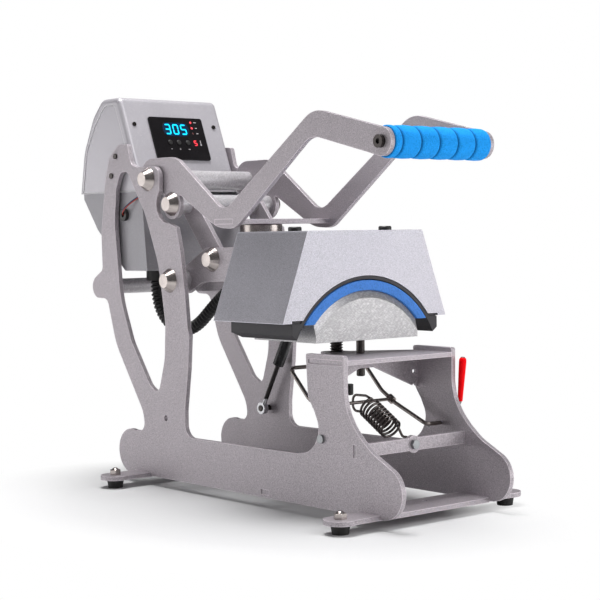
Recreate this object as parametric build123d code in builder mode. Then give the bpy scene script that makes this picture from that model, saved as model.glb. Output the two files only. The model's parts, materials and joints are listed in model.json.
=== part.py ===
from build123d import *
import os
from math import cos, pi, radians, sin, sqrt, tan

os.makedirs("parts", exist_ok=True)

# Cap heat press, in millimetres. +Z is up, +X is the operator's right and the operator stands at -Y.
# The origin is on the ground under the middle of the machine. Side views are drawn on planes whose
# first coordinate is the station, the distance behind the front tips of the side plates.

# ---------------------------------------------------------------- fits
running_fit = 0.05  # radial clearance of turning and sliding joints
side_play = 0.2  # axial clearance between parts that turn against each other
pad_clearance = 1.0  # between the closed platen and the pad

# ---------------------------------------------------------------- frame
frame_gap = 165.0  # between the side plates
plate = 6.0  # laser-cut steel of the frame, handle and arms
lobe_radius = 29.5  # round ends of the side plates at the feet
plate_clearance = 12.5  # under the side plates
rear_lobe_station = 517.0
tower_top = 188.3
tower_front_top = 91.5
tower_rear_top = 157.0
tower_rear_foot = 154.0
rail_top = 71.5
upright_front = 395.2
top_plate_underside = 177.3
crossbar_station = 72.0
crossbar_bottom = 75.8
crossbar_height = 14.7
low_bar_station = 228.0
low_bar_depth = 15.0
low_bar_bottom = 16.0
cross_tube_diameter = 20.5
cross_tube_station = 589.5
cross_tube_height = 257.5

# ---------------------------------------------------------------- pivots (station, height)
handle_pivot_station = 468.5
handle_pivot_height = 398.5
link_top_station = 426.5
link_top_height = 365.5
link_bottom_station = 366.5
link_bottom_height = 294.5
head_pivot_station = 423.5
head_pivot_height = 268.0
shaft_diameter = 16.0
link_shaft_diameter = 12.0
cap_base_diameter = 31.0
cap_face_diameter = 18.0
cap_height = 10.0
pivot_tube_diameter = 25.0
link_tube_diameter = 24.0

# ---------------------------------------------------------------- handle, links and arms
handle_side_gap = 1.5  # between a side plate and a handle plate
arm_outer_x = 63.0
link_side_gap = 1.0  # between a link and an arm
grip_station = 35.0
grip_height = 424.1
grip_radius = 18.1
grip_bar_diameter = 12.0
grip_groove_depth = 1.6
grip_groove_width = 3.0
grip_grooves = 5
grip_screw_diameter = 14.5
grip_screw_head = 5.0
handle_lobe_radius = 16.0
striker_bottom = 338.5  # underside of the plate that the magnet holds
striker_front = 300.0
striker_tab_depth = 36.0
striker_depth = 70.0
striker_half_width = 45.0

# ---------------------------------------------------------------- cap form
form_half_width = 81.0
form_bottom = 199.5
form_front = 147.5
form_length = 113.0
arc_centre_height = 150.0
form_radius = 108.0
form_bevel = 9.0
form_bevel_depth = 4.0
pad_thickness = 12.0
pad_edge_height = 221.0
guide_pin_diameter = 10.0
guide_pin_station = 161.0
guide_pin_bottom = 156.0
screw_diameter = 15.9
screw_station = 204.0
knob_diameter = 40.0
knob_height = 12.0
knob_bottom = 131.0
knob_flutes = 8

# ---------------------------------------------------------------- head
head_front = 147.5
head_rear = 277.0
head_top = 328.5
head_bottom = 223.5
head_top_half_width = 91.0
head_bottom_half_width = 129.5
shell_wall = 2.0
arch_radius = 125.5
platen_back_radius = 136.0
platen_foot_half_width = 115.5
platen_foot_bottom = 204.0
platen_length = 113.5
platen_setback = 1.2  # of the platen's front behind the shell's
element_thickness = 3.0
plug_diameter = 16.0
plug_height = 5.0
plug_x = 72.0
plug_station = 193.0
arm_top = 309.6
arm_front_height = 39.6
magnet_diameter = 54.0
magnet_station = 346.0
magnet_height = 28.5
shelf_half_width = 40.0

# ---------------------------------------------------------------- control housing
housing_half_width = 81.0
housing_rear = 645.2
housing_top = 510.4
housing_seam = 384.0
housing_bottom = 279.5
housing_front = 486.0
housing_wall = 2.6
housing_edge_radius = 2.5 * housing_wall
housing_lip = 9.0
face_station = 507.7  # a point of the sloping front face
face_height = 415.5
face_lean = 21.65  # degrees from upright
panel_width = 88.0
panel_height = 62.4
panel_centre_height = 455.8
panel_thickness = 2.4
button_diameter = 7.0
button_travel = 1.0
panel_x = 2.0
button_x = (-15.5, -1.4, 13.7)

# ---------------------------------------------------------------- feet
foot_x = 130.8
front_foot_station = 53.0
rear_foot_station = 492.6
foot_plate_bottom = 11.0
foot_plate_thickness = 5.5
foot_ear_half_depth = 17.0
foot_base_diameter = 22.0
foot_top_diameter = 18.6
stud_diameter = 8.0

# ---------------------------------------------------------------- bail and its spring
bail_wire_diameter = 4.8
bail_half_width = 59.0
bail_pivot_station = 111.0
bail_pivot_height = 97.5
lever_x = 95.0
sleeve_diameter = 9.0
spring_diameter = 27.0
spring_wire_diameter = 3.0

# ---------------------------------------------------------------- gas spring
gas_x = 71.0
gas_bottom_station = 437.0
gas_bottom_height = 90.8
gas_top_station = 334.0
gas_top_height = 272.0
gas_cylinder_diameter = 15.0
gas_rod_diameter = 6.0
gas_stud_diameter = 8.0

# ---------------------------------------------------------------- cords
hose_diameter = 17.0

# ---------------------------------------------------------------- values that follow
plate_inner_x = frame_gap / 2
plate_outer_x = plate_inner_x + plate
handle_outer_x = plate_inner_x - handle_side_gap
handle_inner_x = handle_outer_x - plate
arm_inner_x = arm_outer_x - plate
link_outer_x = arm_inner_x - link_side_gap
link_inner_x = link_outer_x - plate
front_tip_y = -housing_rear / 2
handle_pivot = (handle_pivot_station, handle_pivot_height)
link_top = (link_top_station, link_top_height)
link_bottom = (link_bottom_station, link_bottom_height)
head_pivot = (head_pivot_station, head_pivot_height)
pad_radius = form_radius + pad_thickness
platen_radius = pad_radius + pad_clearance
front_lobe = (lobe_radius, plate_clearance + lobe_radius)
rear_lobe = (rear_lobe_station, plate_clearance + lobe_radius - 1.0)


def side_plane(x: float) -> Plane:
    """Plane at x on which sketch coordinates are the station and the height, facing +X."""
    return Plane(origin=(x, front_tip_y, 0), x_dir=(0, 1, 0), z_dir=(1, 0, 0))


def deck_plane(height: float) -> Plane:
    """Level plane at a height, drawn as x and station."""
    return Plane(origin=(0, front_tip_y, height), x_dir=(1, 0, 0), z_dir=(0, 0, 1))


def front_plane(station: float) -> Plane:
    """Upright cross plane at a station, facing the operator, drawn as x and height."""
    return Plane(origin=(0, front_tip_y + station, 0), x_dir=(1, 0, 0), z_dir=(0, -1, 0))


def place(x: float, station: float, height: float) -> Vector:
    """Point of the model for an x, a station and a height."""
    return Vector(x, front_tip_y + station, height)


def draw_outline(corners: list[tuple[float, float, float]], mode: Mode = Mode.ADD) -> None:
    """Fill or cut a closed outline through corners given as two coordinates and a corner radius.

    A corner's arc never takes more than half of the shorter edge beside it.
    """
    points = [Vector(corner[0], corner[1]) for corner in corners]
    starts, middles, ends = [], [], []
    for index, (point, corner) in enumerate(zip(points, corners)):
        back = points[index - 1] - point
        ahead = points[(index + 1) % len(points)] - point
        half_angle = radians(back.get_angle(ahead)) / 2
        tangent = min(corner[2] / tan(half_angle), 0.49 * min(back.length, ahead.length))
        radius = tangent * tan(half_angle)
        bisector = (back.normalized() + ahead.normalized()).normalized()
        starts.append(point + back.normalized() * tangent)
        middles.append(point + bisector * (radius / sin(half_angle) - radius))
        ends.append(point + ahead.normalized() * tangent)
    with BuildLine() as border:
        for index, corner in enumerate(corners):
            Line(ends[index - 1], starts[index])
            if corner[2] > 0:
                ThreePointArc(starts[index], middles[index], ends[index])
    make_face(border.line, mode=mode)


def draw_side_plate() -> None:
    """Outline of a frame side plate with its window, slots and shaft holes."""
    a_station, a_height = handle_pivot
    d_station, d_height = head_pivot
    draw_outline(
        [
            (lobe_radius, plate_clearance, 0),
            (rear_lobe_station, plate_clearance, 0),
            (rear_lobe[0] + 14, rear_lobe[1] - 24, 0),
            (rear_lobe[0] + 4, rear_lobe[1] + 28, 0),
            (rear_lobe[0] - 32, rear_lobe[1] + 29, 14),
            (rear_lobe[0] - 30, rear_lobe[1] + 53, 40),
            (d_station + 126, d_height - 86, 90),
            (cross_tube_station - 21, cross_tube_height - 15.5, 12),
            (cross_tube_station, cross_tube_height - 15, 0),
            (cross_tube_station + 8, cross_tube_height + 12.7, 0),
            (cross_tube_station - 10.5, cross_tube_height + 23, 8),
            (a_station + 112, a_height - 70, 70),
            (a_station + 100, a_height + 2, 60),
            (a_station + 89, a_height + 33, 20),
            (a_station + 66, a_height + 48.5, 16),
            (a_station + 45.5, a_height + 47.5, 4),
            (a_station + 38.5, a_height + 21, 11),
            (a_station + 24, a_height + 16.5, 10),
            (a_station - 25.5, a_height + 16, 14),
            (a_station - 25.5, a_height - 16, 3),
            (link_top_station + 18, link_top_height - 17, 0),
            (link_top_station - 19, link_top_height - 30, 2),
            (d_station - 24, d_height + 38, 60),
            (d_station - 33, d_height - 20, 120),
            (d_station - 37, d_height - 60, 3),
            (upright_front - 12, d_height - 68, 8),
            (upright_front - 8.5, d_height - 110, 60),
            (upright_front, rail_top + 32, 30),
            (upright_front, rail_top - 1.8, 17),
            (tower_rear_foot + 20, rail_top, 30),
            (tower_rear_foot + 1, rail_top + 3, 25),
            (tower_rear_foot - 10, rail_top + 12, 25),
            (tower_rear_foot - 17, rail_top + 24, 25),
            (tower_rear_foot - 18, rail_top + 37, 25),
            (tower_rear_foot - 10, tower_top - 64, 25),
            (tower_rear_foot, tower_top - 50, 14),
            (tower_rear_top, tower_top, 3),
            (tower_front_top, tower_top, 3),
            (tower_front_top + 0.5, tower_top - 42, 50),
            (tower_front_top - 4, tower_top - 61.5, 50),
            (tower_front_top - 14, tower_top - 77.5, 50),
            (tower_front_top - 26, tower_top - 90, 60),
            (tower_front_top - 44, tower_top - 104.5, 60),
            (front_lobe[0] - 3, front_lobe[1] + 31.5, 30),
            (front_lobe[0] - 16, front_lobe[1] + 24.8, 0),
        ]
    )
    with Locations(front_lobe, rear_lobe):
        Circle(lobe_radius)
    with Locations((cross_tube_station, cross_tube_height)):
        Circle(15)
    with Locations(link_top):
        Circle(cap_base_diameter / 2 + 8.5, mode=Mode.SUBTRACT)
    draw_outline(
        [
            (a_station + 45, a_height + 11, 9),
            (a_station + 64, a_height + 12, 11),
            (a_station + 74, a_height - 9, 25),
            (a_station + 79.5, a_height - 55, 90),
            (a_station + 69, a_height - 155, 130),
            (a_station + 44.5, a_height - 212, 60),
            (a_station + 4, a_height - 267, 20),
            (a_station - 16, a_height - 278, 9),
            (d_station + 14, d_height - 102, 60),
            (d_station + 11, d_height - 55, 60),
            (d_station + 24, d_height + 21, 120),
            (d_station + 53, d_height + 88, 120),
            (d_station + 78, d_height + 122, 60),
        ],
        mode=Mode.SUBTRACT,
    )
    with Locations(handle_pivot, head_pivot):
        Circle(shaft_diameter / 2, mode=Mode.SUBTRACT)
    with Locations((gas_bottom_station, gas_bottom_height)):
        Circle(gas_stud_diameter / 2, mode=Mode.SUBTRACT)
    with Locations(*housing_screw_places):
        Circle(housing_screw_diameter / 2, mode=Mode.SUBTRACT)
    with Locations(tower_screw_place):
        Circle(tower_screw_diameter / 2, mode=Mode.SUBTRACT)
    for corner, width, height in plate_slots:
        with Locations(corner):
            Rectangle(width, height, align=(Align.MIN, Align.MIN), mode=Mode.SUBTRACT)
    for station, half_depth in foot_plate_tabs:
        with Locations((station, foot_plate_bottom)):
            Rectangle(2 * half_depth, 2 * foot_plate_thickness, mode=Mode.SUBTRACT)


housing_screw_places = [
    (handle_pivot_station + 73.9, handle_pivot_height + 33.1),
    (handle_pivot_station + 84.4, handle_pivot_height + 7.4),
]
housing_screw_diameter = 6.0
housing_screw_head_diameter = 7.5
tower_screw_diameter = 5.0
tower_screw_place = (tower_rear_foot - 23, bail_pivot_height - 5.4)
tower_tab_depth = 59.0
tab_recess = 1.0  # how far the tabs stop short of the plates' outer faces
bail_socket_depth = 4.0
plate_slots = [
    ((94.0, top_plate_underside), tower_tab_depth, foot_plate_thickness),
    ((crossbar_station, crossbar_bottom), plate, crossbar_height),
    ((low_bar_station, low_bar_bottom), low_bar_depth, plate),
]
foot_plate_tabs = [
    (front_foot_station, foot_ear_half_depth),
    (rear_foot_station, foot_ear_half_depth),
]

with BuildPart() as left_side_plate:
    with BuildSketch(side_plane(-plate_outer_x)):
        draw_side_plate()
    extrude(amount=plate)
    with BuildSketch(side_plane(-plate_inner_x)):
        with Locations((bail_pivot_station, bail_pivot_height)):
            Circle(bail_wire_diameter / 2 + running_fit)
    extrude(amount=-bail_socket_depth, mode=Mode.SUBTRACT)
left_side_plate.part.label = "left_side_plate"

with BuildPart() as right_side_plate:
    with BuildSketch(side_plane(plate_inner_x)):
        draw_side_plate()
    extrude(amount=plate)
    with BuildSketch(side_plane(plate_inner_x)):
        with Locations((bail_pivot_station, bail_pivot_height)):
            Circle(bail_wire_diameter / 2 + running_fit)
    extrude(amount=plate, mode=Mode.SUBTRACT)
right_side_plate.part.label = "right_side_plate"

# ---------------------------------------------------------------- tower and cross members
nut_width = 24.0
nut_height = 8.0
tongue_radius = 19.0
tongue_waist = 47.0

with BuildPart() as top_plate:
    with BuildSketch(deck_plane(top_plate_underside)):
        draw_outline(
            [
                (-plate_inner_x, tower_front_top, 0),
                (plate_inner_x, tower_front_top, 0),
                (plate_inner_x, tower_rear_top - 1, 2),
                (tongue_radius - 2, tower_rear_top - 1 + tongue_waist, 6),
                (0, screw_station + tongue_radius, 12),
                (2 - tongue_radius, tower_rear_top - 1 + tongue_waist, 6),
                (-plate_inner_x, tower_rear_top - 1, 2),
            ]
        )
        with Locations((0, screw_station)):
            Circle(tongue_radius)
        with Locations((0, plate_slots[0][0][0] + tower_tab_depth / 2)):
            Rectangle(2 * (plate_outer_x - tab_recess), tower_tab_depth)
        with Locations((0, guide_pin_station)):
            Circle(guide_pin_diameter / 2 + running_fit, mode=Mode.SUBTRACT)
        with Locations((0, screw_station)):
            Circle(screw_diameter / 2 + running_fit, mode=Mode.SUBTRACT)
    extrude(amount=foot_plate_thickness)
    with BuildSketch(deck_plane(top_plate_underside)):
        with Locations((0, screw_station)):
            RegularPolygon(nut_width / 2, 6, major_radius=False)
            Circle(screw_diameter / 2 + running_fit, mode=Mode.SUBTRACT)
    extrude(amount=-nut_height)
top_plate.part.label = "top_plate"

apron_corner_height = tower_top - 48.8
apron_middle_height = tower_top - 22.0
apron_hole_diameter = 5.5
apron_hole_inset = 5.5
apron_thickness = 3.0

with BuildPart() as tower_apron:
    with BuildSketch(front_plane(tower_rear_foot - 4)):
        draw_outline(
            [
                (-plate_inner_x, top_plate_underside, 0),
                (-plate_inner_x, apron_corner_height, 0),
                (-plate_inner_x + 6, apron_corner_height, 2),
                (-12, apron_middle_height, 12),
                (12, apron_middle_height, 12),
                (plate_inner_x - 6, apron_corner_height, 2),
                (plate_inner_x, apron_corner_height, 0),
                (plate_inner_x, top_plate_underside, 0),
            ]
        )
        for side in (-1, 1):
            with Locations((side * (plate_inner_x - apron_hole_inset), tower_top - 31)):
                Circle(apron_hole_diameter / 2, mode=Mode.SUBTRACT)
            with Locations((side * (plate_inner_x - apron_hole_inset), apron_corner_height)):
                Circle(apron_hole_diameter / 2, mode=Mode.SUBTRACT)
    extrude(amount=-apron_thickness)
tower_apron.part.label = "tower_apron"

spring_boss_radius = 10.0
spring_boss_height = crossbar_bottom + crossbar_height / 2
spring_bolt_diameter = 6.0

with BuildPart() as crossbars:
    with BuildSketch(front_plane(crossbar_station)):
        with Locations((0, spring_boss_height)):
            Rectangle(2 * (plate_outer_x - tab_recess), crossbar_height)
            Circle(spring_boss_radius)
            Circle(spring_bolt_diameter / 2, mode=Mode.SUBTRACT)
    extrude(amount=-plate)
    with BuildSketch(deck_plane(low_bar_bottom)):
        with Locations((0, low_bar_station + low_bar_depth / 2)):
            Rectangle(2 * (plate_outer_x - tab_recess), low_bar_depth)
    extrude(amount=plate)
crossbars.part.label = "crossbars"

bolt_head_height = 4.0
tower_screw_head = 10.0

with BuildPart() as zinc_bolts:
    with BuildSketch(front_plane(crossbar_station)):
        with Locations((0, spring_boss_height)):
            RegularPolygon(tower_screw_head / 2, 6, major_radius=False)
    extrude(amount=bolt_head_height)
    with BuildSketch(front_plane(crossbar_station)):
        with Locations((0, spring_boss_height)):
            Circle(spring_bolt_diameter / 2)
    extrude(amount=-plate)
    for side in (-1, 1):
        with BuildSketch(side_plane(side * plate_outer_x)):
            with Locations(tower_screw_place):
                Circle(tower_screw_head / 2)
        extrude(amount=side * 3)
        with BuildSketch(side_plane(side * (plate_outer_x - plate))):
            with Locations(tower_screw_place):
                Circle(tower_screw_diameter / 2)
        extrude(amount=side * plate)
zinc_bolts.part.label = "zinc_bolts"


def draw_foot_plate(station: float, front: float, rear: float) -> None:
    """Plate between the side plates with a rounded ear reaching out to each foot."""
    with Locations((0, station + (rear - front) / 2)):
        Rectangle(frame_gap, front + rear)
    with Locations((0, station)):
        Rectangle(2 * foot_x, 2 * foot_ear_half_depth)
    with Locations((-foot_x, station), (foot_x, station)):
        Circle(foot_ear_half_depth + 2)
        Circle(stud_diameter / 2, mode=Mode.SUBTRACT)


front_plate_ahead = 20.0
front_plate_behind = 33.4

with BuildPart() as foot_plates:
    with BuildSketch(deck_plane(foot_plate_bottom)):
        draw_foot_plate(front_foot_station, front_plate_ahead, front_plate_behind)
        draw_foot_plate(rear_foot_station, foot_ear_half_depth, foot_ear_half_depth)
        with Locations((16, front_foot_station + 18)):
            Circle(3, mode=Mode.SUBTRACT)
    extrude(amount=foot_plate_thickness)
foot_plates.part.label = "foot_plates"

foot_places = [
    place(side * foot_x, station, 0)
    for side in (-1, 1)
    for station in (front_foot_station, rear_foot_station)
]
stud_depth = 8.0

with BuildPart() as rubber_feet:
    with Locations(*foot_places):
        Cone(
            foot_top_diameter / 2,
            foot_base_diameter / 2,
            foot_plate_bottom,
            align=(Align.CENTER, Align.CENTER, Align.MIN),
        )
    with Locations(*[foot + Vector(0, 0, foot_plate_bottom) for foot in foot_places]):
        Cylinder(
            stud_diameter / 2,
            2 * stud_depth,
            mode=Mode.SUBTRACT,
        )
rubber_feet.part.label = "rubber_feet"

acorn_width = 13.0
acorn_hex_height = 6.5
foot_plate_top = foot_plate_bottom + foot_plate_thickness

with BuildPart() as foot_nuts:
    for foot in foot_places:
        with BuildSketch(Plane.XY.offset(foot_plate_top)):
            with Locations((foot.X, foot.Y)):
                RegularPolygon(acorn_width / 2, 6, major_radius=False)
        extrude(amount=acorn_hex_height)
        with Locations(foot + Vector(0, 0, foot_plate_top + acorn_hex_height)):
            Sphere(acorn_width / 2 - 0.6, arc_size1=0)
        with Locations(foot + Vector(0, 0, foot_plate_bottom - stud_depth)):
            Cylinder(
                stud_diameter / 2,
                stud_depth + foot_plate_thickness,
                align=(Align.CENTER, Align.CENTER, Align.MIN),
            )
foot_nuts.part.label = "foot_nuts"

with BuildPart() as rear_cross_tube:
    with BuildSketch(side_plane(-plate_inner_x)):
        with Locations((cross_tube_station, cross_tube_height)):
            Circle(cross_tube_diameter / 2)
            Circle(cross_tube_diameter / 2 - 3, mode=Mode.SUBTRACT)
    extrude(amount=frame_gap)
rear_cross_tube.part.label = "rear_cross_tube"

# ---------------------------------------------------------------- pivots on the frame
with BuildPart() as frame_pivot_shafts:
    with BuildSketch(side_plane(-plate_outer_x)):
        with Locations(handle_pivot, head_pivot):
            Circle(shaft_diameter / 2)
    extrude(amount=2 * plate_outer_x)
frame_pivot_shafts.part.label = "frame_pivot_shafts"


def add_pivot_caps(outer_x: float, pivots: list[tuple[float, float]]) -> None:
    """Polished truncated cones on both sides of the machine, seated at plus and minus outer_x."""
    for side in (-1, 1):
        for station, height in pivots:
            with Locations(Location(place(side * outer_x, station, height), (0, side * 90, 0))):
                Cone(
                    cap_base_diameter / 2,
                    cap_face_diameter / 2,
                    cap_height,
                    align=(Align.CENTER, Align.CENTER, Align.MIN),
                )


with BuildPart() as frame_pivot_caps:
    add_pivot_caps(plate_outer_x, [handle_pivot, head_pivot])
frame_pivot_caps.part.label = "frame_pivot_caps"


def draw_ring(outer: float, inner: float) -> None:
    """Ring of two diameters at the sketch's current location."""
    Circle(outer / 2)
    Circle(inner / 2, mode=Mode.SUBTRACT)


with BuildPart() as head_pivot_spacers:
    for start, length in (
        (-plate_inner_x, plate_inner_x - arm_outer_x - side_play),
        (arm_outer_x + side_play, plate_inner_x - arm_outer_x - side_play),
    ):
        with BuildSketch(side_plane(start)):
            with Locations(head_pivot):
                draw_ring(pivot_tube_diameter, shaft_diameter)
        extrude(amount=length)
head_pivot_spacers.part.label = "head_pivot_spacers"

# ---------------------------------------------------------------- handle
striker_tab_slot = (striker_front, striker_bottom)


def draw_handle_plate() -> None:
    """V-shaped handle plate: pivot lobes at the rear, a dip over the head and the grip in front."""
    a_station, a_height = handle_pivot
    b_station, b_height = link_top
    draw_outline(
        [
            (grip_station, grip_height + handle_lobe_radius, 0),
            (147, grip_height + 43.5, 40),
            (317, striker_bottom + 15, 24),
            (b_station - 16, a_height + 22.5, 30),
            (b_station, a_height + 27, 20),
            (a_station, a_height + 27, 0),
            (a_station, a_height, 0),
            (b_station, b_height, 0),
            (b_station - 18, b_height + 11.5, 4),
            (b_station - 96, striker_bottom - 4.5, 60),
            (striker_front - 4, striker_bottom - 6, 30),
            (152, grip_height + 13.5, 30),
            (grip_station + 22, grip_height - 10.5, 20),
            (grip_station + 2, grip_height - handle_lobe_radius, 0),
        ]
    )
    with Locations((grip_station, grip_height)):
        Circle(handle_lobe_radius)
        Circle(grip_bar_diameter / 4 + running_fit, mode=Mode.SUBTRACT)
    with Locations(handle_pivot):
        Circle(27)
        Circle(shaft_diameter / 2 + running_fit, mode=Mode.SUBTRACT)
    with Locations(link_top):
        Circle(19)
        Circle(link_shaft_diameter / 2, mode=Mode.SUBTRACT)
    with Locations(striker_tab_slot):
        Rectangle(striker_tab_depth, plate, align=(Align.MIN, Align.MIN), mode=Mode.SUBTRACT)


with BuildPart() as left_handle_plate:
    with BuildSketch(side_plane(-handle_outer_x)):
        draw_handle_plate()
    extrude(amount=plate)
left_handle_plate.part.label = "left_handle_plate"

with BuildPart() as right_handle_plate:
    with BuildSketch(side_plane(handle_inner_x)):
        draw_handle_plate()
    extrude(amount=plate)
right_handle_plate.part.label = "right_handle_plate"

with BuildPart() as handle_cross_plate:
    with BuildSketch(deck_plane(striker_bottom)):
        with Locations((0, striker_front)):
            Rectangle(2 * handle_outer_x, striker_tab_depth, align=(Align.CENTER, Align.MIN))
            Rectangle(2 * striker_half_width, striker_depth, align=(Align.CENTER, Align.MIN))
    extrude(amount=plate)
    chamfer(handle_cross_plate.edges().filter_by(Axis.Z).group_by(Axis.Y)[-1], 8)
handle_cross_plate.part.label = "handle_cross_plate"

grip_groove_pitch = 24.0

with BuildPart() as grip_bar:
    with BuildSketch(side_plane(-handle_inner_x)):
        with Locations((grip_station, grip_height)):
            Circle(grip_bar_diameter / 2)
            Circle(grip_bar_diameter / 4, mode=Mode.SUBTRACT)
    extrude(amount=2 * handle_inner_x)
grip_bar.part.label = "grip_bar"

grip_plane = Plane(
    origin=place(0, grip_station, grip_height), x_dir=(1, 0, 0), z_dir=(0, -1, 0)
)

with BuildPart() as grip_foam:
    with BuildSketch(grip_plane):
        with Locations((0, (grip_radius + grip_bar_diameter / 2) / 2)):
            Rectangle(2 * handle_inner_x, grip_radius - grip_bar_diameter / 2)
        for index in range(grip_grooves):
            offset_x = (index - (grip_grooves - 1) / 2) * grip_groove_pitch
            with Locations((offset_x, grip_radius)):
                Rectangle(grip_groove_width, 2 * grip_groove_depth, mode=Mode.SUBTRACT)
    revolve(axis=Axis(place(0, grip_station, grip_height), (1, 0, 0)))
grip_foam.part.label = "grip_foam"

with BuildPart() as grip_screws:
    for side in (-1, 1):
        head_place = place(side * handle_outer_x, grip_station, grip_height)
        with Locations(Location(head_place, (0, side * 90, 0))):
            Cylinder(
                grip_screw_diameter / 2,
                grip_screw_head,
                align=(Align.CENTER, Align.CENTER, Align.MIN),
            )
        with Locations(Location(head_place + Vector(side * grip_screw_head, 0, 0), (0, side * 90, 0))):
            Cylinder(3, 5, mode=Mode.SUBTRACT)
        with Locations(Location(head_place, (0, -side * 90, 0))):
            Cylinder(
                grip_bar_diameter / 4,
                4 * plate,
                align=(Align.CENTER, Align.CENTER, Align.MIN),
            )
grip_screws.part.label = "grip_screws"

with BuildPart() as handle_cross_tube:
    with BuildSketch(side_plane(-handle_inner_x)):
        with Locations(handle_pivot):
            draw_ring(pivot_tube_diameter, shaft_diameter + 2 * running_fit)
    extrude(amount=2 * handle_inner_x)
handle_cross_tube.part.label = "handle_cross_tube"

with BuildPart() as link_shaft:
    with BuildSketch(side_plane(-handle_outer_x)):
        with Locations(link_top):
            Circle(link_shaft_diameter / 2)
    extrude(amount=2 * handle_outer_x)
    add_pivot_caps(handle_outer_x, [link_top])
link_shaft.part.label = "link_shaft"

with BuildPart() as link_spacers:
    for start, end in (
        (-handle_inner_x, -link_outer_x - side_play),
        (-link_inner_x + side_play, link_inner_x - side_play),
        (link_outer_x + side_play, handle_inner_x),
    ):
        with BuildSketch(side_plane(start)):
            with Locations(link_top):
                draw_ring(link_tube_diameter, link_shaft_diameter)
        extrude(amount=end - start)
link_spacers.part.label = "link_spacers"

# ---------------------------------------------------------------- links
link_eye_radius = 15.0
link_pin_diameter = 18.0
link_pin_stand = 2.0


def draw_link() -> None:
    """Flat link with round eyes on the link shaft and over the arm's stud."""
    with Locations(link_top, link_bottom):
        Circle(link_eye_radius)
    make_hull()
    with Locations(link_top):
        Circle(link_shaft_diameter / 2 + running_fit, mode=Mode.SUBTRACT)


with BuildPart() as left_link:
    with BuildSketch(side_plane(-link_outer_x)):
        draw_link()
    extrude(amount=plate)
    with BuildSketch(side_plane(-link_inner_x)):
        with Locations(link_bottom):
            Circle(link_pin_diameter / 2)
    extrude(amount=link_pin_stand)
left_link.part.label = "left_link"

with BuildPart() as right_link:
    with BuildSketch(side_plane(link_inner_x)):
        draw_link()
    extrude(amount=plate)
    with BuildSketch(side_plane(link_inner_x)):
        with Locations(link_bottom):
            Circle(link_pin_diameter / 2)
    extrude(amount=-link_pin_stand)
right_link.part.label = "right_link"

# ---------------------------------------------------------------- head
arm_lobe_radius = 17.0


def draw_arm() -> None:
    """Head arm from the rear wall of the head back to the head pivot."""
    d_station, d_height = head_pivot
    draw_outline(
        [
            (head_rear, arm_top - arm_front_height, 0),
            (head_rear, arm_top, 0),
            (link_bottom_station + 12, arm_top, 20),
            (d_station + 12, d_height + 12, 0),
            (d_station - 6, d_height - 16, 0),
            (d_station - 36, d_height - 2, 30),
        ]
    )
    with Locations(head_pivot):
        Circle(arm_lobe_radius)
        Circle(shaft_diameter / 2 + running_fit, mode=Mode.SUBTRACT)
    with Locations(link_bottom):
        Circle(link_shaft_diameter / 2, mode=Mode.SUBTRACT)


with BuildPart() as left_arm:
    with BuildSketch(side_plane(-arm_outer_x)):
        draw_arm()
    extrude(amount=plate)
left_arm.part.label = "left_arm"

with BuildPart() as right_arm:
    with BuildSketch(side_plane(arm_inner_x)):
        draw_arm()
        with Locations((gas_top_station, gas_top_height)):
            Circle(arm_lobe_radius / 2 + 3)
            Circle(gas_stud_diameter / 2, mode=Mode.SUBTRACT)
    extrude(amount=plate)
right_arm.part.label = "right_arm"

with BuildPart() as arm_studs:
    for side in (-1, 1):
        with BuildSketch(side_plane(side * arm_inner_x)):
            with Locations(link_bottom):
                Circle(link_shaft_diameter / 2)
        extrude(amount=side * plate)
    add_pivot_caps(arm_outer_x, [link_bottom])
    with BuildSketch(side_plane(arm_inner_x)):
        with Locations((gas_top_station, gas_top_height)):
            Circle(gas_stud_diameter / 2)
    extrude(amount=gas_x + 5 - arm_inner_x)
arm_studs.part.label = "arm_studs"

with BuildPart() as arm_cross_tube:
    with BuildSketch(side_plane(-arm_inner_x)):
        with Locations(head_pivot):
            draw_ring(pivot_tube_diameter, shaft_diameter + 2 * running_fit)
    extrude(amount=2 * arm_inner_x)
arm_cross_tube.part.label = "arm_cross_tube"

brace_top = (head_pivot_station - 24.5, head_pivot_height + 9.0)
brace_bottom = (head_pivot_station - 14.0, head_pivot_height - 13.5)
brace_thickness = 4.0

with BuildPart() as arm_brace:
    with BuildSketch(side_plane(-arm_inner_x)):
        with BuildLine() as brace_line:
            Line(brace_top, brace_bottom)
        trace(brace_line.line, line_width=brace_thickness)
    extrude(amount=2 * arm_inner_x)
arm_brace.part.label = "arm_brace"

shelf_front_depth = 22.0

with BuildPart() as magnet_bracket:
    with BuildSketch(deck_plane(arm_top - plate)):
        shelf_rear = magnet_station + magnet_diameter / 2
        draw_outline(
            [
                (-arm_inner_x, head_rear, 0),
                (arm_inner_x, head_rear, 0),
                (arm_inner_x, head_rear + shelf_front_depth, 0),
                (shelf_half_width, head_rear + shelf_front_depth + 18, 4),
                (shelf_half_width, shelf_rear + 3, 10),
                (-shelf_half_width, shelf_rear + 3, 10),
                (-shelf_half_width, head_rear + shelf_front_depth + 18, 4),
                (-arm_inner_x, head_rear + shelf_front_depth, 0),
            ]
        )
    extrude(amount=plate)
magnet_bracket.part.label = "magnet_bracket"

magnet_groove_width = 3.0

with BuildPart() as electromagnet:
    with Locations(place(0, magnet_station, arm_top)):
        Cylinder(
            magnet_diameter / 2,
            magnet_height,
            align=(Align.CENTER, Align.CENTER, Align.MIN),
        )
    with BuildSketch(deck_plane(arm_top + magnet_height)):
        with Locations((0, magnet_station)):
            draw_ring(magnet_diameter * 0.62, magnet_diameter * 0.62 - 2 * magnet_groove_width)
    extrude(amount=-1, mode=Mode.SUBTRACT)
    fillet(electromagnet.edges().filter_by(GeomType.CIRCLE).sort_by(SortBy.RADIUS)[-2:], 1)
electromagnet.part.label = "electromagnet"


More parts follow.
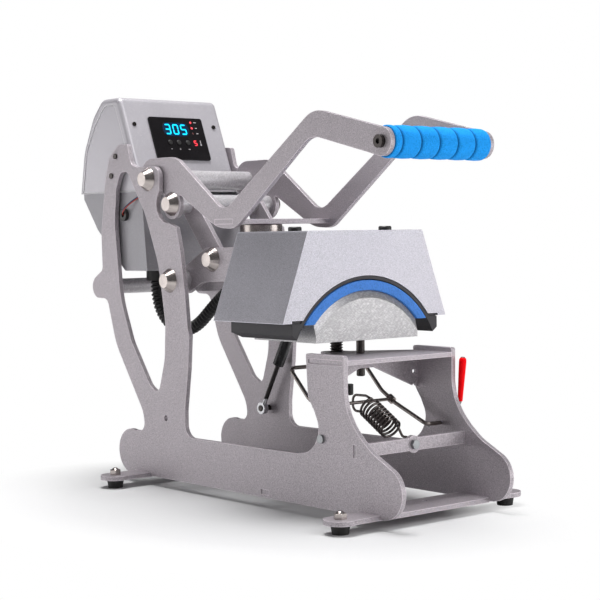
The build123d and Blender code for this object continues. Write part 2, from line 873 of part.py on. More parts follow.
def draw_head_section(inset: float) -> None:
    """Sloping cross-section of the head shell, drawn inset from its outer faces."""
    slope = (head_bottom_half_width - head_top_half_width) / (head_top - head_bottom)
    side_inset = inset * sqrt(1 + slope**2)
    top = head_top - inset
    bottom = head_bottom + inset
    half_top = head_top_half_width + slope * inset - side_inset
    half_bottom = head_bottom_half_width - slope * inset - side_inset
    corner = max(4.0 - inset, 1.0)
    draw_outline(
        [
            (-half_bottom, bottom, 0),
            (half_bottom, bottom, 0),
            (half_top, top, corner),
            (-half_top, top, corner),
        ]
    )


with BuildPart() as head_shell:
    with BuildSketch(front_plane(head_front)):
        draw_head_section(0)
    extrude(amount=-(head_rear - head_front))
    with BuildSketch(front_plane(head_front + shell_wall)):
        draw_head_section(shell_wall)
    extrude(amount=-(head_rear - head_front - 2 * shell_wall), mode=Mode.SUBTRACT)
    with BuildSketch(front_plane(head_front)):
        with Locations((0, arc_centre_height)):
            Circle(arch_radius)
    extrude(amount=-(head_rear - head_front), mode=Mode.SUBTRACT)
    with BuildSketch(deck_plane(head_bottom)):
        with Locations((0, head_front + platen_length / 2)):
            Rectangle(2 * platen_foot_half_width + 1, platen_length + 2)
    extrude(amount=shell_wall + 1, mode=Mode.SUBTRACT)
head_shell.part.label = "head_shell"


def draw_platen(outer_radius: float, top: float) -> None:
    """Arch of the heater platen out to a radius, with its straight-sided feet, below a height."""
    with Locations((0, arc_centre_height)):
        Circle(outer_radius)
    with Locations((0, platen_foot_bottom)):
        Rectangle(
            2 * platen_foot_half_width,
            top - platen_foot_bottom,
            align=(Align.CENTER, Align.MIN),
            mode=Mode.INTERSECT,
        )
    with Locations((0, arc_centre_height)):
        Circle(platen_radius, mode=Mode.SUBTRACT)


foot_chamfer_width = 7.5
foot_chamfer_height = 5.5
foot_rear_cut = 12.0
foot_rear_rise = 6.0

with BuildPart() as heater_platen:
    with BuildSketch(front_plane(head_front + shell_wall + 0.5)):
        draw_platen(platen_back_radius, head_top)
    extrude(amount=-(platen_length - shell_wall - 3))
    with BuildSketch(front_plane(head_front + platen_setback)):
        draw_platen(arch_radius - 0.2, head_top)
    extrude(amount=platen_setback - platen_length)
    with BuildSketch(front_plane(head_front + platen_setback)):
        draw_platen(platen_back_radius, head_bottom - 0.5)
    extrude(amount=platen_setback - platen_length)
    for side in (-1, 1):
        with BuildSketch(front_plane(head_front)):
            with BuildLine():
                Polyline(
                    (side * platen_foot_half_width, platen_foot_bottom),
                    (side * (platen_foot_half_width - foot_chamfer_width), platen_foot_bottom),
                    (side * platen_foot_half_width, platen_foot_bottom + foot_chamfer_height),
                    close=True,
                )
            make_face()
        extrude(amount=-platen_length, mode=Mode.SUBTRACT)
    with BuildSketch(side_plane(-platen_foot_half_width)):
        with BuildLine():
            Polyline(
                (head_front + platen_length, platen_foot_bottom),
                (head_front + platen_length - foot_rear_cut, platen_foot_bottom),
                (head_front + platen_length, platen_foot_bottom + foot_rear_rise),
                close=True,
            )
        make_face()
    extrude(amount=2 * platen_foot_half_width, mode=Mode.SUBTRACT)
heater_platen.part.label = "heater_platen"

element_span = 200.0
element_gap = 0.1

with BuildPart() as heating_element:
    with BuildSketch(front_plane(head_front + shell_wall + 2)):
        element_radius = platen_back_radius + element_gap
        with Locations((0, arc_centre_height)):
            Circle(element_radius + element_thickness)
        with Locations((0, arc_centre_height + platen_back_radius)):
            Rectangle(element_span, 1.3 * platen_back_radius, mode=Mode.INTERSECT)
        with Locations((0, arc_centre_height)):
            Circle(element_radius, mode=Mode.SUBTRACT)
    extrude(amount=-(platen_length - shell_wall - 8))
heating_element.part.label = "heating_element"

hose_entry_x = -20.0
hose_entry_height = arm_top - 19.6
hose_collar_diameter = 26.0
hose_collar_length = 12.0

with BuildPart() as head_fittings:
    with Locations(
        place(-plug_x, plug_station, head_top),
        place(plug_x, plug_station, head_top),
    ):
        Cylinder(
            plug_diameter / 2,
            plug_height,
            align=(Align.CENTER, Align.CENTER, Align.MIN),
        )
    chamfer(head_fittings.edges().group_by(Axis.Z)[-1], 1.2)
    with BuildSketch(front_plane(head_rear)):
        with Locations((hose_entry_x, hose_entry_height)):
            draw_ring(hose_collar_diameter, hose_diameter)
    extrude(amount=-hose_collar_length)
head_fittings.part.label = "head_fittings"

# ---------------------------------------------------------------- cap form
with BuildPart() as form_block:
    with BuildSketch(front_plane(form_front)):
        with Locations((0, arc_centre_height)):
            Circle(form_radius)
        with Locations((0, form_bottom)):
            Rectangle(
                2 * form_half_width,
                form_radius + arc_centre_height - form_bottom,
                align=(Align.CENTER, Align.MIN),
                mode=Mode.INTERSECT,
            )
    extrude(amount=-form_length)
    chamfer(
        form_block.edges().filter_by(GeomType.CIRCLE).group_by(Axis.Y)[0],
        form_bevel_depth,
        form_bevel,
    )
    with Locations(place(0, guide_pin_station, form_bottom)):
        Cylinder(
            guide_pin_diameter / 2,
            12,
            align=(Align.CENTER, Align.CENTER, Align.MIN),
            mode=Mode.SUBTRACT,
        )
    with Locations(place(0, screw_station, form_bottom)):
        Cylinder(
            screw_diameter / 2 + running_fit,
            10 + side_play,
            align=(Align.CENTER, Align.CENTER, Align.MIN),
            mode=Mode.SUBTRACT,
        )
form_block.part.label = "form_block"

pad_seat = 0.05

with BuildPart() as form_pad:
    with BuildSketch(front_plane(form_front)):
        with Locations((0, arc_centre_height)):
            Circle(pad_radius)
        with Locations((0, pad_edge_height)):
            Rectangle(
                2 * pad_radius,
                pad_radius,
                align=(Align.CENTER, Align.MIN),
                mode=Mode.INTERSECT,
            )
        with Locations((0, arc_centre_height)):
            Circle(form_radius + pad_seat, mode=Mode.SUBTRACT)
    extrude(amount=-form_length)
form_pad.part.label = "form_pad"

with BuildPart() as guide_pin:
    with Locations(place(0, guide_pin_station, guide_pin_bottom)):
        Cylinder(
            guide_pin_diameter / 2,
            form_bottom + 12 - guide_pin_bottom,
            align=(Align.CENTER, Align.CENTER, Align.MIN),
        )
    chamfer(guide_pin.edges().group_by(Axis.Z)[0], 1)
guide_pin.part.label = "guide_pin"

with BuildPart() as pressure_screw:
    with Locations(place(0, screw_station, knob_bottom)):
        Cylinder(
            screw_diameter / 2,
            form_bottom + 10 - knob_bottom,
            align=(Align.CENTER, Align.CENTER, Align.MIN),
        )
pressure_screw.part.label = "pressure_screw"

knob_flute_radius = 5.0

with BuildPart() as pressure_knob:
    with BuildSketch(Plane(origin=place(0, screw_station, knob_bottom), z_dir=(0, 0, 1))):
        Circle(knob_diameter / 2)
        with PolarLocations(knob_diameter / 2 + knob_flute_radius / 2, knob_flutes):
            Circle(knob_flute_radius, mode=Mode.SUBTRACT)
        Circle(screw_diameter / 2, mode=Mode.SUBTRACT)
    extrude(amount=knob_height)
pressure_knob.part.label = "pressure_knob"

# ---------------------------------------------------------------- gas spring on the right side
gas_bottom = Vector(gas_bottom_station, gas_bottom_height)
gas_top = Vector(gas_top_station, gas_top_height)
gas_length = (gas_top - gas_bottom).length
gas_direction = (gas_top - gas_bottom).normalized()
gas_eye_radius = 8.0
gas_eye_thickness = 7.0
gas_visible_rod = 70.5
gas_rod_inside = 110.0
gas_bore_diameter = 12.0
gas_top_wall = 10.0

with BuildPart() as gas_stud:
    with BuildSketch(side_plane(gas_x - gas_eye_thickness / 2 - 1)):
        with Locations((gas_bottom_station, gas_bottom_height)):
            Circle(gas_stud_diameter / 2)
    extrude(amount=plate_outer_x - gas_x + gas_eye_thickness / 2 + 1)
    with BuildSketch(side_plane(plate_outer_x)):
        with Locations((gas_bottom_station, gas_bottom_height)):
            RegularPolygon(6.5, 6, major_radius=False)
    extrude(amount=4)
gas_stud.part.label = "gas_stud"


def gas_axis_plane(distance: float) -> Plane:
    """Plane across the gas spring at a distance from its lower stud."""
    point = gas_bottom + gas_direction * distance
    return Plane(
        origin=place(gas_x, point.X, point.Y),
        x_dir=(1, 0, 0),
        z_dir=(0, gas_direction.X, gas_direction.Y),
    )


with BuildPart() as gas_rod:
    with BuildSketch(side_plane(gas_x - gas_eye_thickness / 2)):
        with Locations((gas_bottom_station, gas_bottom_height)):
            Circle(gas_eye_radius)
    extrude(amount=gas_eye_thickness)
    with BuildSketch(gas_axis_plane(0)):
        Circle(gas_rod_diameter / 2)
    extrude(amount=gas_visible_rod + gas_rod_inside)
    with BuildSketch(side_plane(gas_x - gas_eye_thickness / 2)):
        with Locations((gas_bottom_station, gas_bottom_height)):
            Circle(gas_stud_diameter / 2 + running_fit)
    extrude(amount=gas_eye_thickness, mode=Mode.SUBTRACT)
gas_rod.part.label = "gas_rod"

with BuildPart() as gas_cylinder:
    with BuildSketch(side_plane(gas_x - gas_eye_thickness / 2)):
        with Locations((gas_top_station, gas_top_height)):
            Circle(gas_eye_radius)
    extrude(amount=gas_eye_thickness)
    with BuildSketch(gas_axis_plane(gas_visible_rod)):
        Circle(gas_cylinder_diameter / 2)
    extrude(amount=gas_length - gas_visible_rod - gas_eye_radius - 4)
    with BuildSketch(gas_axis_plane(gas_length - gas_eye_radius - 4)):
        Circle(gas_rod_diameter / 2)
    extrude(amount=gas_eye_radius + 4)
    with BuildSketch(gas_axis_plane(gas_visible_rod)):
        Circle(gas_bore_diameter / 2)
    extrude(
        amount=gas_length - gas_visible_rod - gas_eye_radius - 4 - gas_top_wall,
        mode=Mode.SUBTRACT,
    )
    with BuildSketch(side_plane(gas_x - gas_eye_thickness / 2)):
        with Locations((gas_top_station, gas_top_height)):
            Circle(gas_stud_diameter / 2 + running_fit)
    extrude(amount=gas_eye_thickness, mode=Mode.SUBTRACT)
gas_cylinder.part.label = "gas_cylinder"

# ---------------------------------------------------------------- cap hold-down bail
bail_collar_station = 165.0
bail_collar_height = 119.3
bail_bar_station = 221.5
bail_bar_height = 165.7
bail_bend = (188.4, 132.9)
lever_bottom = (90.7, 123.0)
lever_top = (85.1, 176.5)

with BuildPart() as bail_wire:
    with BuildLine() as bail_route:
        FilletPolyline(
            place(side_play - plate_inner_x - bail_socket_depth, bail_pivot_station, bail_pivot_height),
            place(-bail_half_width, bail_pivot_station, bail_pivot_height),
            place(-bail_half_width, bail_collar_station, bail_collar_height),
            place(-bail_half_width, *bail_bend),
            place(-bail_half_width, bail_bar_station, bail_bar_height),
            place(bail_half_width, bail_bar_station, bail_bar_height),
            place(bail_half_width, *bail_bend),
            place(bail_half_width, bail_collar_station, bail_collar_height),
            place(bail_half_width, bail_pivot_station, bail_pivot_height),
            place(lever_x, bail_pivot_station, bail_pivot_height),
            place(lever_x, *lever_bottom),
            place(lever_x, *lever_top),
            radius=[6, 20, 20, 8, 8, 20, 20, 6, 5, 12],
        )
    with BuildSketch(Plane(bail_route.line @ 0, z_dir=bail_route.line % 0)):
        Circle(bail_wire_diameter / 2)
    sweep()
bail_wire.part.label = "bail_wire"

collar_diameter = 9.6
collar_length = 8.0
cross_wire_diameter = 4.0
leg_direction = (Vector(*bail_bend) - Vector(bail_collar_station, bail_collar_height)).normalized()
cross_wire_point = Vector(bail_collar_station, bail_collar_height) + leg_direction * 8

with BuildPart() as bail_cross_wire:
    with BuildSketch(side_plane(-bail_half_width)):
        with Locations((cross_wire_point.X, cross_wire_point.Y)):
            Circle(cross_wire_diameter / 2)
    extrude(amount=2 * bail_half_width)
    for side in (-1, 1):
        collar_plane = Plane(
            origin=place(side * bail_half_width, cross_wire_point.X, cross_wire_point.Y),
            x_dir=(1, 0, 0),
            z_dir=(0, leg_direction.X, leg_direction.Y),
        )
        with BuildSketch(collar_plane.offset(-collar_length / 2)):
            Circle(collar_diameter / 2)
        extrude(amount=collar_length)
        with BuildSketch(collar_plane.offset(-collar_length)):
            Circle(bail_wire_diameter / 2)
        extrude(amount=2 * collar_length, mode=Mode.SUBTRACT)
bail_cross_wire.part.label = "bail_cross_wire"

with BuildPart() as lever_sleeve:
    sleeve_start = place(lever_x, *lever_bottom)
    sleeve_end = place(lever_x, *lever_top)
    sleeve_axis = (sleeve_end - sleeve_start).normalized()
    with BuildSketch(Plane(sleeve_start + sleeve_axis * 6, z_dir=sleeve_axis)):
        Circle(sleeve_diameter / 2)
    extrude(amount=(sleeve_end - sleeve_start).length - 2)
    with BuildSketch(Plane(sleeve_start, z_dir=sleeve_axis)):
        Circle(bail_wire_diameter / 2)
    extrude(amount=(sleeve_end - sleeve_start).length, mode=Mode.SUBTRACT)
lever_sleeve.part.label = "lever_sleeve"

coil_low = Vector(109.3, 96.6)
coil_high = Vector(148.6, 120.3)
spring_turns = 9
spring_direction = (coil_high - coil_low).normalized()
spring_length = (coil_high - coil_low).length
spring_mean_radius = (spring_diameter - spring_wire_diameter) / 2
spring_normal = Vector(-spring_direction.Y, spring_direction.X)
spring_touch = 0.1
low_hook_front = crossbar_station + plate + spring_wire_diameter / 2 + 0.4
high_hook_rear = cross_wire_point.X + (cross_wire_diameter + spring_wire_diameter) / 2 + spring_touch


def spring_point(start: Vector, along: float, across: float) -> Vector:
    """Point in the machine's middle plane, along and across the bail spring from a point of its axis."""
    point = start + spring_direction * along + spring_normal * across
    return place(0, point.X, point.Y)


with BuildPart() as bail_spring:
    with BuildLine() as coil:
        Helix(
            spring_length / spring_turns,
            spring_length,
            spring_mean_radius,
            center=spring_point(coil_low, 0, 0),
            direction=spring_point(coil_low, 1, 0) - spring_point(coil_low, 0, 0),
        )
    with BuildSketch(Plane(coil.line @ 0, z_dir=coil.line % 0)):
        Circle(spring_wire_diameter / 2)
    sweep(is_frenet=True)
    with BuildLine() as low_hook:
        FilletPolyline(
            spring_point(coil_low, 4, spring_mean_radius),
            spring_point(coil_low, -8, spring_mean_radius - 3),
            place(0, 91.0, spring_boss_height + 7.0),
            place(0, low_hook_front, spring_boss_height + 7.0),
            place(0, low_hook_front, spring_boss_height - 5.0),
            place(0, low_hook_front + 9, spring_boss_height - 5.0),
            radius=[7, 5, 4, 4],
        )
    with BuildSketch(Plane(low_hook.line @ 0, z_dir=low_hook.line % 0)):
        Circle(spring_wire_diameter / 2)
    sweep()
    with BuildLine() as high_hook:
        FilletPolyline(
            spring_point(coil_high, -4, spring_mean_radius),
            spring_point(coil_high, 10, spring_mean_radius - 3),
            place(0, high_hook_rear, cross_wire_point.Y + 9.5),
            place(0, high_hook_rear, cross_wire_point.Y - 9.5),
            spring_point(coil_high, 5, -spring_mean_radius + 1),
            radius=[8, 7, 7],
        )
    with BuildSketch(Plane(high_hook.line @ 0, z_dir=high_hook.line % 0)):
        Circle(spring_wire_diameter / 2)
    sweep()
bail_spring.part.label = "bail_spring"

# ---------------------------------------------------------------- control housing
lean = radians(face_lean)


def face_point(height: float) -> tuple[float, float]:
    """Station and height of the housing's sloping front face at a height."""
    return (face_station + (height - face_height) * tan(lean), height)


def draw_housing_cover(inset: float) -> None:
    """Side profile of the cover above the seam, inset from its outer faces."""
    front_foot = face_point(housing_seam)
    front_shift = inset / cos(lean)
    draw_outline(
        [
            (front_foot[0] + front_shift, housing_seam, 0),
            (housing_rear - inset, housing_seam, 0),
            (housing_rear - 10.8 - inset, 442.1, 60),
            (housing_rear - 35 - inset, 488 - inset, 40),
            (housing_rear - 58 - inset, housing_top - inset, 18),
            (face_point(housing_top)[0] + front_shift, housing_top - inset, 9),
        ]
    )


with BuildPart() as housing_cover:
    with BuildSketch(side_plane(-housing_half_width)):
        draw_housing_cover(0)
    extrude(amount=2 * housing_half_width)
    fillet(
        housing_cover.faces().sort_by(Axis.X)[0].edges().sort_by(Axis.Z)[1:]
        + housing_cover.faces().sort_by(Axis.X)[-1].edges().sort_by(Axis.Z)[1:],
        housing_edge_radius,
    )
    with BuildSketch(side_plane(-housing_half_width + housing_wall)):
        draw_housing_cover(housing_wall)
    extrude(amount=2 * (housing_half_width - housing_wall), mode=Mode.SUBTRACT)
    with BuildSketch(side_plane(-housing_half_width)):
        draw_housing_cover(housing_lip)
        with Locations((housing_rear - 80, housing_seam)):
            Rectangle(2 * housing_rear, 2, mode=Mode.SUBTRACT)
    extrude(amount=2 * housing_half_width, mode=Mode.SUBTRACT)
housing_cover.part.label = "housing_cover"


def draw_housing_base(inset: float) -> None:
    """Side profile of the base under the seam, inset from its outer faces, open at the top."""
    top = housing_seam
    draw_outline(
        [
            (housing_front + inset, housing_bottom + inset, 3),
            (housing_front + 51 - 0.4 * inset, housing_bottom + inset, 8),
            (housing_rear - 43 - inset, housing_bottom + 55 + inset / 2, 12),
            (housing_rear - 9.8 - inset, top - 7.1, 6),
            (housing_rear - 9.8 - inset, top, 0),
            (face_point(top)[0] + 1 + inset, top, 0),
        ]
    )


base_half_width = housing_half_width - 1.0
grommet_place = (housing_front + 48.0, housing_bottom + 74.3)
grommet_diameter = 16.0
grommet_hole = 11.0
grommet_bore = 6.0
grommet_flange = 4.5
gland_x = -40.0
gland_station = 523.0
gland_length = 14.0
gland_diameter = 26.0

base_slope_start = Vector(housing_front + 51, housing_bottom)
base_slope_end = Vector(housing_rear - 43, housing_bottom + 55)
upper_slope_end = Vector(housing_rear - 9.8, housing_seam - 7.1)
inlet_width = 48.0
inlet_height = 26.0
inlet_depth = 18.0
switch_width = 21.0
switch_height = 15.0
rocker_gap = 0.4


def slope_plane(start: Vector, end: Vector, share: float) -> Plane:
    """Plane on a sloping rear wall, facing outwards, drawn as x and distance up the slope."""
    point = start + (end - start) * share
    along = (end - start).normalized()
    return Plane(
        origin=place(0, point.X, point.Y),
        x_dir=(-1, 0, 0),
        z_dir=(0, along.Y, -along.X),
    )


inlet_plane = slope_plane(base_slope_start, base_slope_end, 0.6)
switch_plane = slope_plane(base_slope_end, upper_slope_end, 0.5)

with BuildPart() as housing_base:
    with BuildSketch(side_plane(-base_half_width)):
        draw_housing_base(0)
    extrude(amount=2 * base_half_width)
    with BuildSketch(side_plane(-base_half_width + housing_wall)):
        draw_housing_base(housing_wall)
        with Locations((housing_rear - 80, housing_seam)):
            Rectangle(150, 2 * housing_wall)
    extrude(amount=2 * (base_half_width - housing_wall), mode=Mode.SUBTRACT)
    with BuildSketch(side_plane(-base_half_width)):
        with Locations(grommet_place):
            Circle(grommet_hole / 2)
    extrude(amount=housing_wall, mode=Mode.SUBTRACT)
    with BuildSketch(inlet_plane):
        Rectangle(inlet_width - 6, inlet_height - 6)
    extrude(amount=-3 * housing_wall, mode=Mode.SUBTRACT)
    with BuildSketch(switch_plane):
        Rectangle(switch_width - 3, switch_height - 3)
    extrude(amount=-3 * housing_wall, mode=Mode.SUBTRACT)
housing_base.part.label = "housing_base"

side_panel_thickness = 1.2
side_panel_inset = 0.8
side_panel_clearance = 0.1


def draw_side_panel() -> None:
    """Side panel that fills the window of the cover."""
    draw_housing_cover(housing_lip + side_panel_clearance)
    with Locations((housing_rear - 80, housing_seam)):
        Rectangle(2 * housing_rear, 2 + 2 * side_panel_clearance, mode=Mode.SUBTRACT)


with BuildPart() as housing_side_panels:
    with BuildSketch(side_plane(-housing_half_width + side_panel_inset)):
        draw_side_panel()
    extrude(amount=side_panel_thickness)
    with BuildSketch(side_plane(housing_half_width - side_panel_inset)):
        draw_side_panel()
    extrude(amount=-side_panel_thickness)
housing_side_panels.part.label = "housing_side_panels"

panel_centre = face_point(panel_centre_height)
face_plane = Plane(
    origin=place(0, *panel_centre),
    x_dir=(1, 0, 0),
    z_dir=(0, -cos(lean), sin(lean)),
)
button_row_height = 450.2
button_row = (button_row_height - panel_centre_height) / cos(lean)

with BuildPart() as display_panel:
    with BuildSketch(face_plane):
        with Locations((panel_x, 0)):
            RectangleRounded(panel_width, panel_height, 3)
        with Locations(*[(x, button_row) for x in button_x]):
            Circle(button_diameter / 2 + running_fit, mode=Mode.SUBTRACT)
    extrude(amount=panel_thickness)
display_panel.part.label = "display_panel"

button_stand = 1.6
button_floor = button_travel + 0.2
buttons = []
for index, x in enumerate(button_x):
    with BuildPart() as button:
        with BuildSketch(face_plane.offset(button_floor)):
            with Locations((x, button_row)):
                Circle(button_diameter / 2)
        extrude(amount=panel_thickness + button_stand - button_floor)
        fillet(button.edges().sort_by(Axis(face_plane.origin, face_plane.z_dir))[-1], 1.2)
    button.part.label = ("up_button", "down_button", "set_button")[index]
    buttons.append(button)

panel_screw_x = 65.7
panel_screw_height = 474.2
panel_screw_row = (panel_screw_height - panel_centre_height) / cos(lean)
panel_screw_head = 6.0
panel_screw_stand = 1.5
shoulder_diameter = 10.0
housing_screw_head = 1.8

with BuildPart() as housing_screws:
    for side in (-1, 1):
        with BuildSketch(face_plane):
            with Locations((side * panel_screw_x, panel_screw_row)):
                Circle(panel_screw_head / 2)
        extrude(amount=panel_screw_stand)
        with BuildSketch(side_plane(side * (housing_half_width - side_panel_inset))):
            with Locations(*housing_screw_places):
                Circle(shoulder_diameter / 2)
        extrude(amount=side * (plate_inner_x - housing_half_width + side_panel_inset))
        with BuildSketch(side_plane(side * plate_inner_x)):
            with Locations(*housing_screw_places):
                Circle(housing_screw_diameter / 2)
        extrude(amount=side * plate)
        with BuildSketch(side_plane(side * plate_outer_x)):
            with Locations(*housing_screw_places):
                Circle(housing_screw_head_diameter / 2)
        extrude(amount=side * housing_screw_head)
housing_screws.part.label = "housing_screws"

with BuildPart() as housing_glands:
    with BuildSketch(side_plane(-base_half_width)):
        with Locations(grommet_place):
            draw_ring(grommet_diameter, grommet_bore)
    extrude(amount=-grommet_flange)
    with BuildSketch(side_plane(-base_half_width)):
        with Locations(grommet_place):
            draw_ring(grommet_hole, grommet_bore)
    extrude(amount=housing_wall)
    with BuildSketch(deck_plane(housing_bottom)):
        with Locations((gland_x, gland_station)):
            draw_ring(gland_diameter, hose_diameter)
    extrude(amount=-gland_length)
housing_glands.part.label = "housing_glands"

pin_spacing = 7.0

with BuildPart() as power_inlet:
    with BuildSketch(inlet_plane):
        RectangleRounded(inlet_width, inlet_height, 3)
    extrude(amount=3)
    with BuildSketch(inlet_plane):
        Rectangle(inlet_width - 6 - 0.2, inlet_height - 6 - 0.2)
    extrude(amount=-inlet_depth)
    with BuildSketch(inlet_plane.offset(3)):
        RectangleRounded(inlet_width - 22, inlet_height - 10, 2)
    extrude(amount=-inlet_depth + 1, mode=Mode.SUBTRACT)
    with BuildSketch(inlet_plane.offset(-inlet_depth + 2)):
        with GridLocations(pin_spacing, 1, 3, 1):
            Rectangle(1.6, 4)
    extrude(amount=inlet_depth - 4)
    with BuildSketch(switch_plane):
        RectangleRounded(switch_width, switch_height, 1.5)
        Rectangle(switch_width - 5, switch_height - 5, mode=Mode.SUBTRACT)
    extrude(amount=2)
power_inlet.part.label = "power_inlet"

rocker_tilt = 10.0
rocker_width = switch_width - 5 - 2 * rocker_gap
rocker_hub_diameter = 5.0

with BuildPart() as power_switch:
    rocker_plane = Plane(
        origin=switch_plane.origin,
        x_dir=switch_plane.x_dir,
        z_dir=Vector(switch_plane.z_dir).rotate(Axis.X, rocker_tilt),
    )
    with BuildSketch(rocker_plane.offset(-1)):
        Rectangle(rocker_width, switch_height - 6 - 2 * rocker_gap)
    extrude(amount=5)
    with Locations(switch_plane.origin):
        Cylinder(rocker_hub_diameter / 2, rocker_width, rotation=(0, 90, 0))
power_switch.part.label = "power_switch"

board_depth = 40.0
board_width = 120.0
board_post_height = 6.0
board_centre = (0, housing_front + 26)

with BuildPart() as control_board:
    with BuildSketch(deck_plane(housing_bottom + housing_wall)):
        with Locations(board_centre):
            with GridLocations(board_width - 10, board_depth - 10, 2, 2):
                Circle(3)
    extrude(amount=board_post_height)
    with BuildSketch(deck_plane(housing_bottom + housing_wall + board_post_height)):
        with Locations(board_centre):
            Rectangle(board_width, board_depth)
    extrude(amount=1.6)
    with BuildSketch(deck_plane(housing_bottom + housing_wall + board_post_height + 1.6)):
        with Locations((25, board_centre[1])):
            Rectangle(45, 34)
        with Locations((-35, board_centre[1])):
            Rectangle(16, 24)
    extrude(amount=30)
control_board.part.label = "control_board"

# ---------------------------------------------------------------- heater hose
hose_route = [
    (gland_x, gland_station, housing_bottom - 0.3),
    (gland_x, gland_station, 244.5),
    (-39.0, 506.5, 215.0),
    (-36.5, 476.5, 200.0),
    (-33.0, 443.5, 204.0),
    (-29.0, 404.0, 238.0),
    (-25.0, 350.0, 275.0),
    (hose_entry_x, 318.0, hose_entry_height),
    (hose_entry_x, head_rear + 0.3, hose_entry_height),
]


def bend_radii(points: list[Vector]) -> list[float]:
    """Largest tangent arcs for the corners of a route, from the shorter run beside each."""
    radii = []
    for before, corner, after in zip(points, points[1:], points[2:]):
        arriving = corner - before
        leaving = after - corner
        half_turn = radians(arriving.get_angle(leaving)) / 2
        radii.append(0.45 * min(arriving.length, leaving.length) / tan(half_turn))
    return radii


hose_points = [place(*point) for point in hose_route]
hose_radii = bend_radii(hose_points)
print("hose radii", [round(radius, 1) for radius in hose_radii])

with BuildPart() as heater_hose:
    with BuildLine() as hose_line:
        FilletPolyline(*hose_points, radius=hose_radii)
    with BuildSketch(Plane(hose_line.line @ 0, z_dir=hose_line.line % 0)):
        Circle(hose_diameter / 2)
    sweep()
heater_hose.part.label = "heater_hose"
hose_length = sum(edge.length for edge in hose_line.line.edges())
hose_section = pi * (hose_diameter / 2) ** 2
print("hose volume ratio", round(heater_hose.part.volume / (hose_length * hose_section), 4))

pieces = [
    left_side_plate, right_side_plate, top_plate, tower_apron, crossbars, zinc_bolts, foot_plates,
    rubber_feet, foot_nuts, rear_cross_tube, frame_pivot_shafts, frame_pivot_caps,
    head_pivot_spacers, left_handle_plate, right_handle_plate, handle_cross_plate, grip_bar,
    grip_foam, grip_screws, handle_cross_tube, link_shaft, link_spacers, left_link, right_link,
    left_arm, right_arm, arm_studs, arm_cross_tube, arm_brace, magnet_bracket, electromagnet,
    head_shell, heater_platen, heating_element, head_fittings, form_block, form_pad, guide_pin,
    pressure_screw, pressure_knob, gas_stud, gas_rod, gas_cylinder, bail_wire, bail_cross_wire,
    lever_sleeve, bail_spring, housing_cover, housing_base, housing_side_panels, display_panel,
    *buttons, housing_screws, housing_glands, power_inlet, power_switch, control_board, heater_hose,
]
for piece in pieces:
    export_step(piece.part, f"parts/{piece.part.label}.step")
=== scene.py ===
"""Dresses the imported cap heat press: finishes for every part, the soft and fine pieces, and the studio.

Lengths in the pieces' fields are millimetres, in the machine's own terms: x across the machine, station
back from the tip of the side plates, and height above the bench. spot() turns them into metres.
"""

from __future__ import annotations

import json
import logging
import math
from abc import ABC, abstractmethod
from dataclasses import dataclass
from enum import Enum
from typing import Any, ClassVar

import bmesh
import bpy
from mathutils import Matrix, Vector

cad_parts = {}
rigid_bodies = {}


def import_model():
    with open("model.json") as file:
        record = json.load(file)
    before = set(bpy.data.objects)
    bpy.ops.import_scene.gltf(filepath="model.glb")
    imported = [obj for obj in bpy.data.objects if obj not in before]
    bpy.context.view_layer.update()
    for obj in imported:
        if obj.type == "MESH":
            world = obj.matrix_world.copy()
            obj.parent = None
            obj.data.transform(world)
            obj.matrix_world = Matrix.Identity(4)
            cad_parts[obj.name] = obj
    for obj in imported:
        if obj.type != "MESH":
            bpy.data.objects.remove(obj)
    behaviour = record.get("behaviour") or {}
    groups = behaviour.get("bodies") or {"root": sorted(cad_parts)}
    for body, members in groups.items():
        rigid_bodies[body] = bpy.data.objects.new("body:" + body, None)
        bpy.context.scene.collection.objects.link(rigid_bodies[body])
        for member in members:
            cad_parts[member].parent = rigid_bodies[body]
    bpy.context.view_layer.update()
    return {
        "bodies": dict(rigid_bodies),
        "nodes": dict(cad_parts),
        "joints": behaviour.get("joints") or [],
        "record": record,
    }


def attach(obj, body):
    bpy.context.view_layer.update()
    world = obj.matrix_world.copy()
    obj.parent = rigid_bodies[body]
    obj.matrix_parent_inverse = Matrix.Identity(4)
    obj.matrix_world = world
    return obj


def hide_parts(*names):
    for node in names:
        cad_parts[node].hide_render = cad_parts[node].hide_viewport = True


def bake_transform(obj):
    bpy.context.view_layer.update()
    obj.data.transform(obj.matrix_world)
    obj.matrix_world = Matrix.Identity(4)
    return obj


log = logging.getLogger("cap_press")

FRONT_TIP = -322.6
MM = 0.001
POINT_WELD = 0.00001
FACET_WELD = 0.00002
CURVE_STEPS = 48

Colour = tuple[float, float, float]
Spot = tuple[float, float, float]
Pair = tuple[float, float]

WHITE: Colour = (1.0, 1.0, 1.0)
GRIP_BAR: Pair = (35.0, 424.1)
ACROSS = Vector((1, 0, 0))


def spot(x: float, station: float, height: float) -> Vector:
    """Return the point in metres for an x, a station and a height in millimetres."""
    return Vector((x, FRONT_TIP + station, height)) * MM


def tinted(colour: Colour, share: float, lift: float = 0.0) -> Colour:
    """Return a colour with its channels multiplied by a share and lifted, up to full."""
    return tuple(min(1.0, channel * share + lift) for channel in colour)


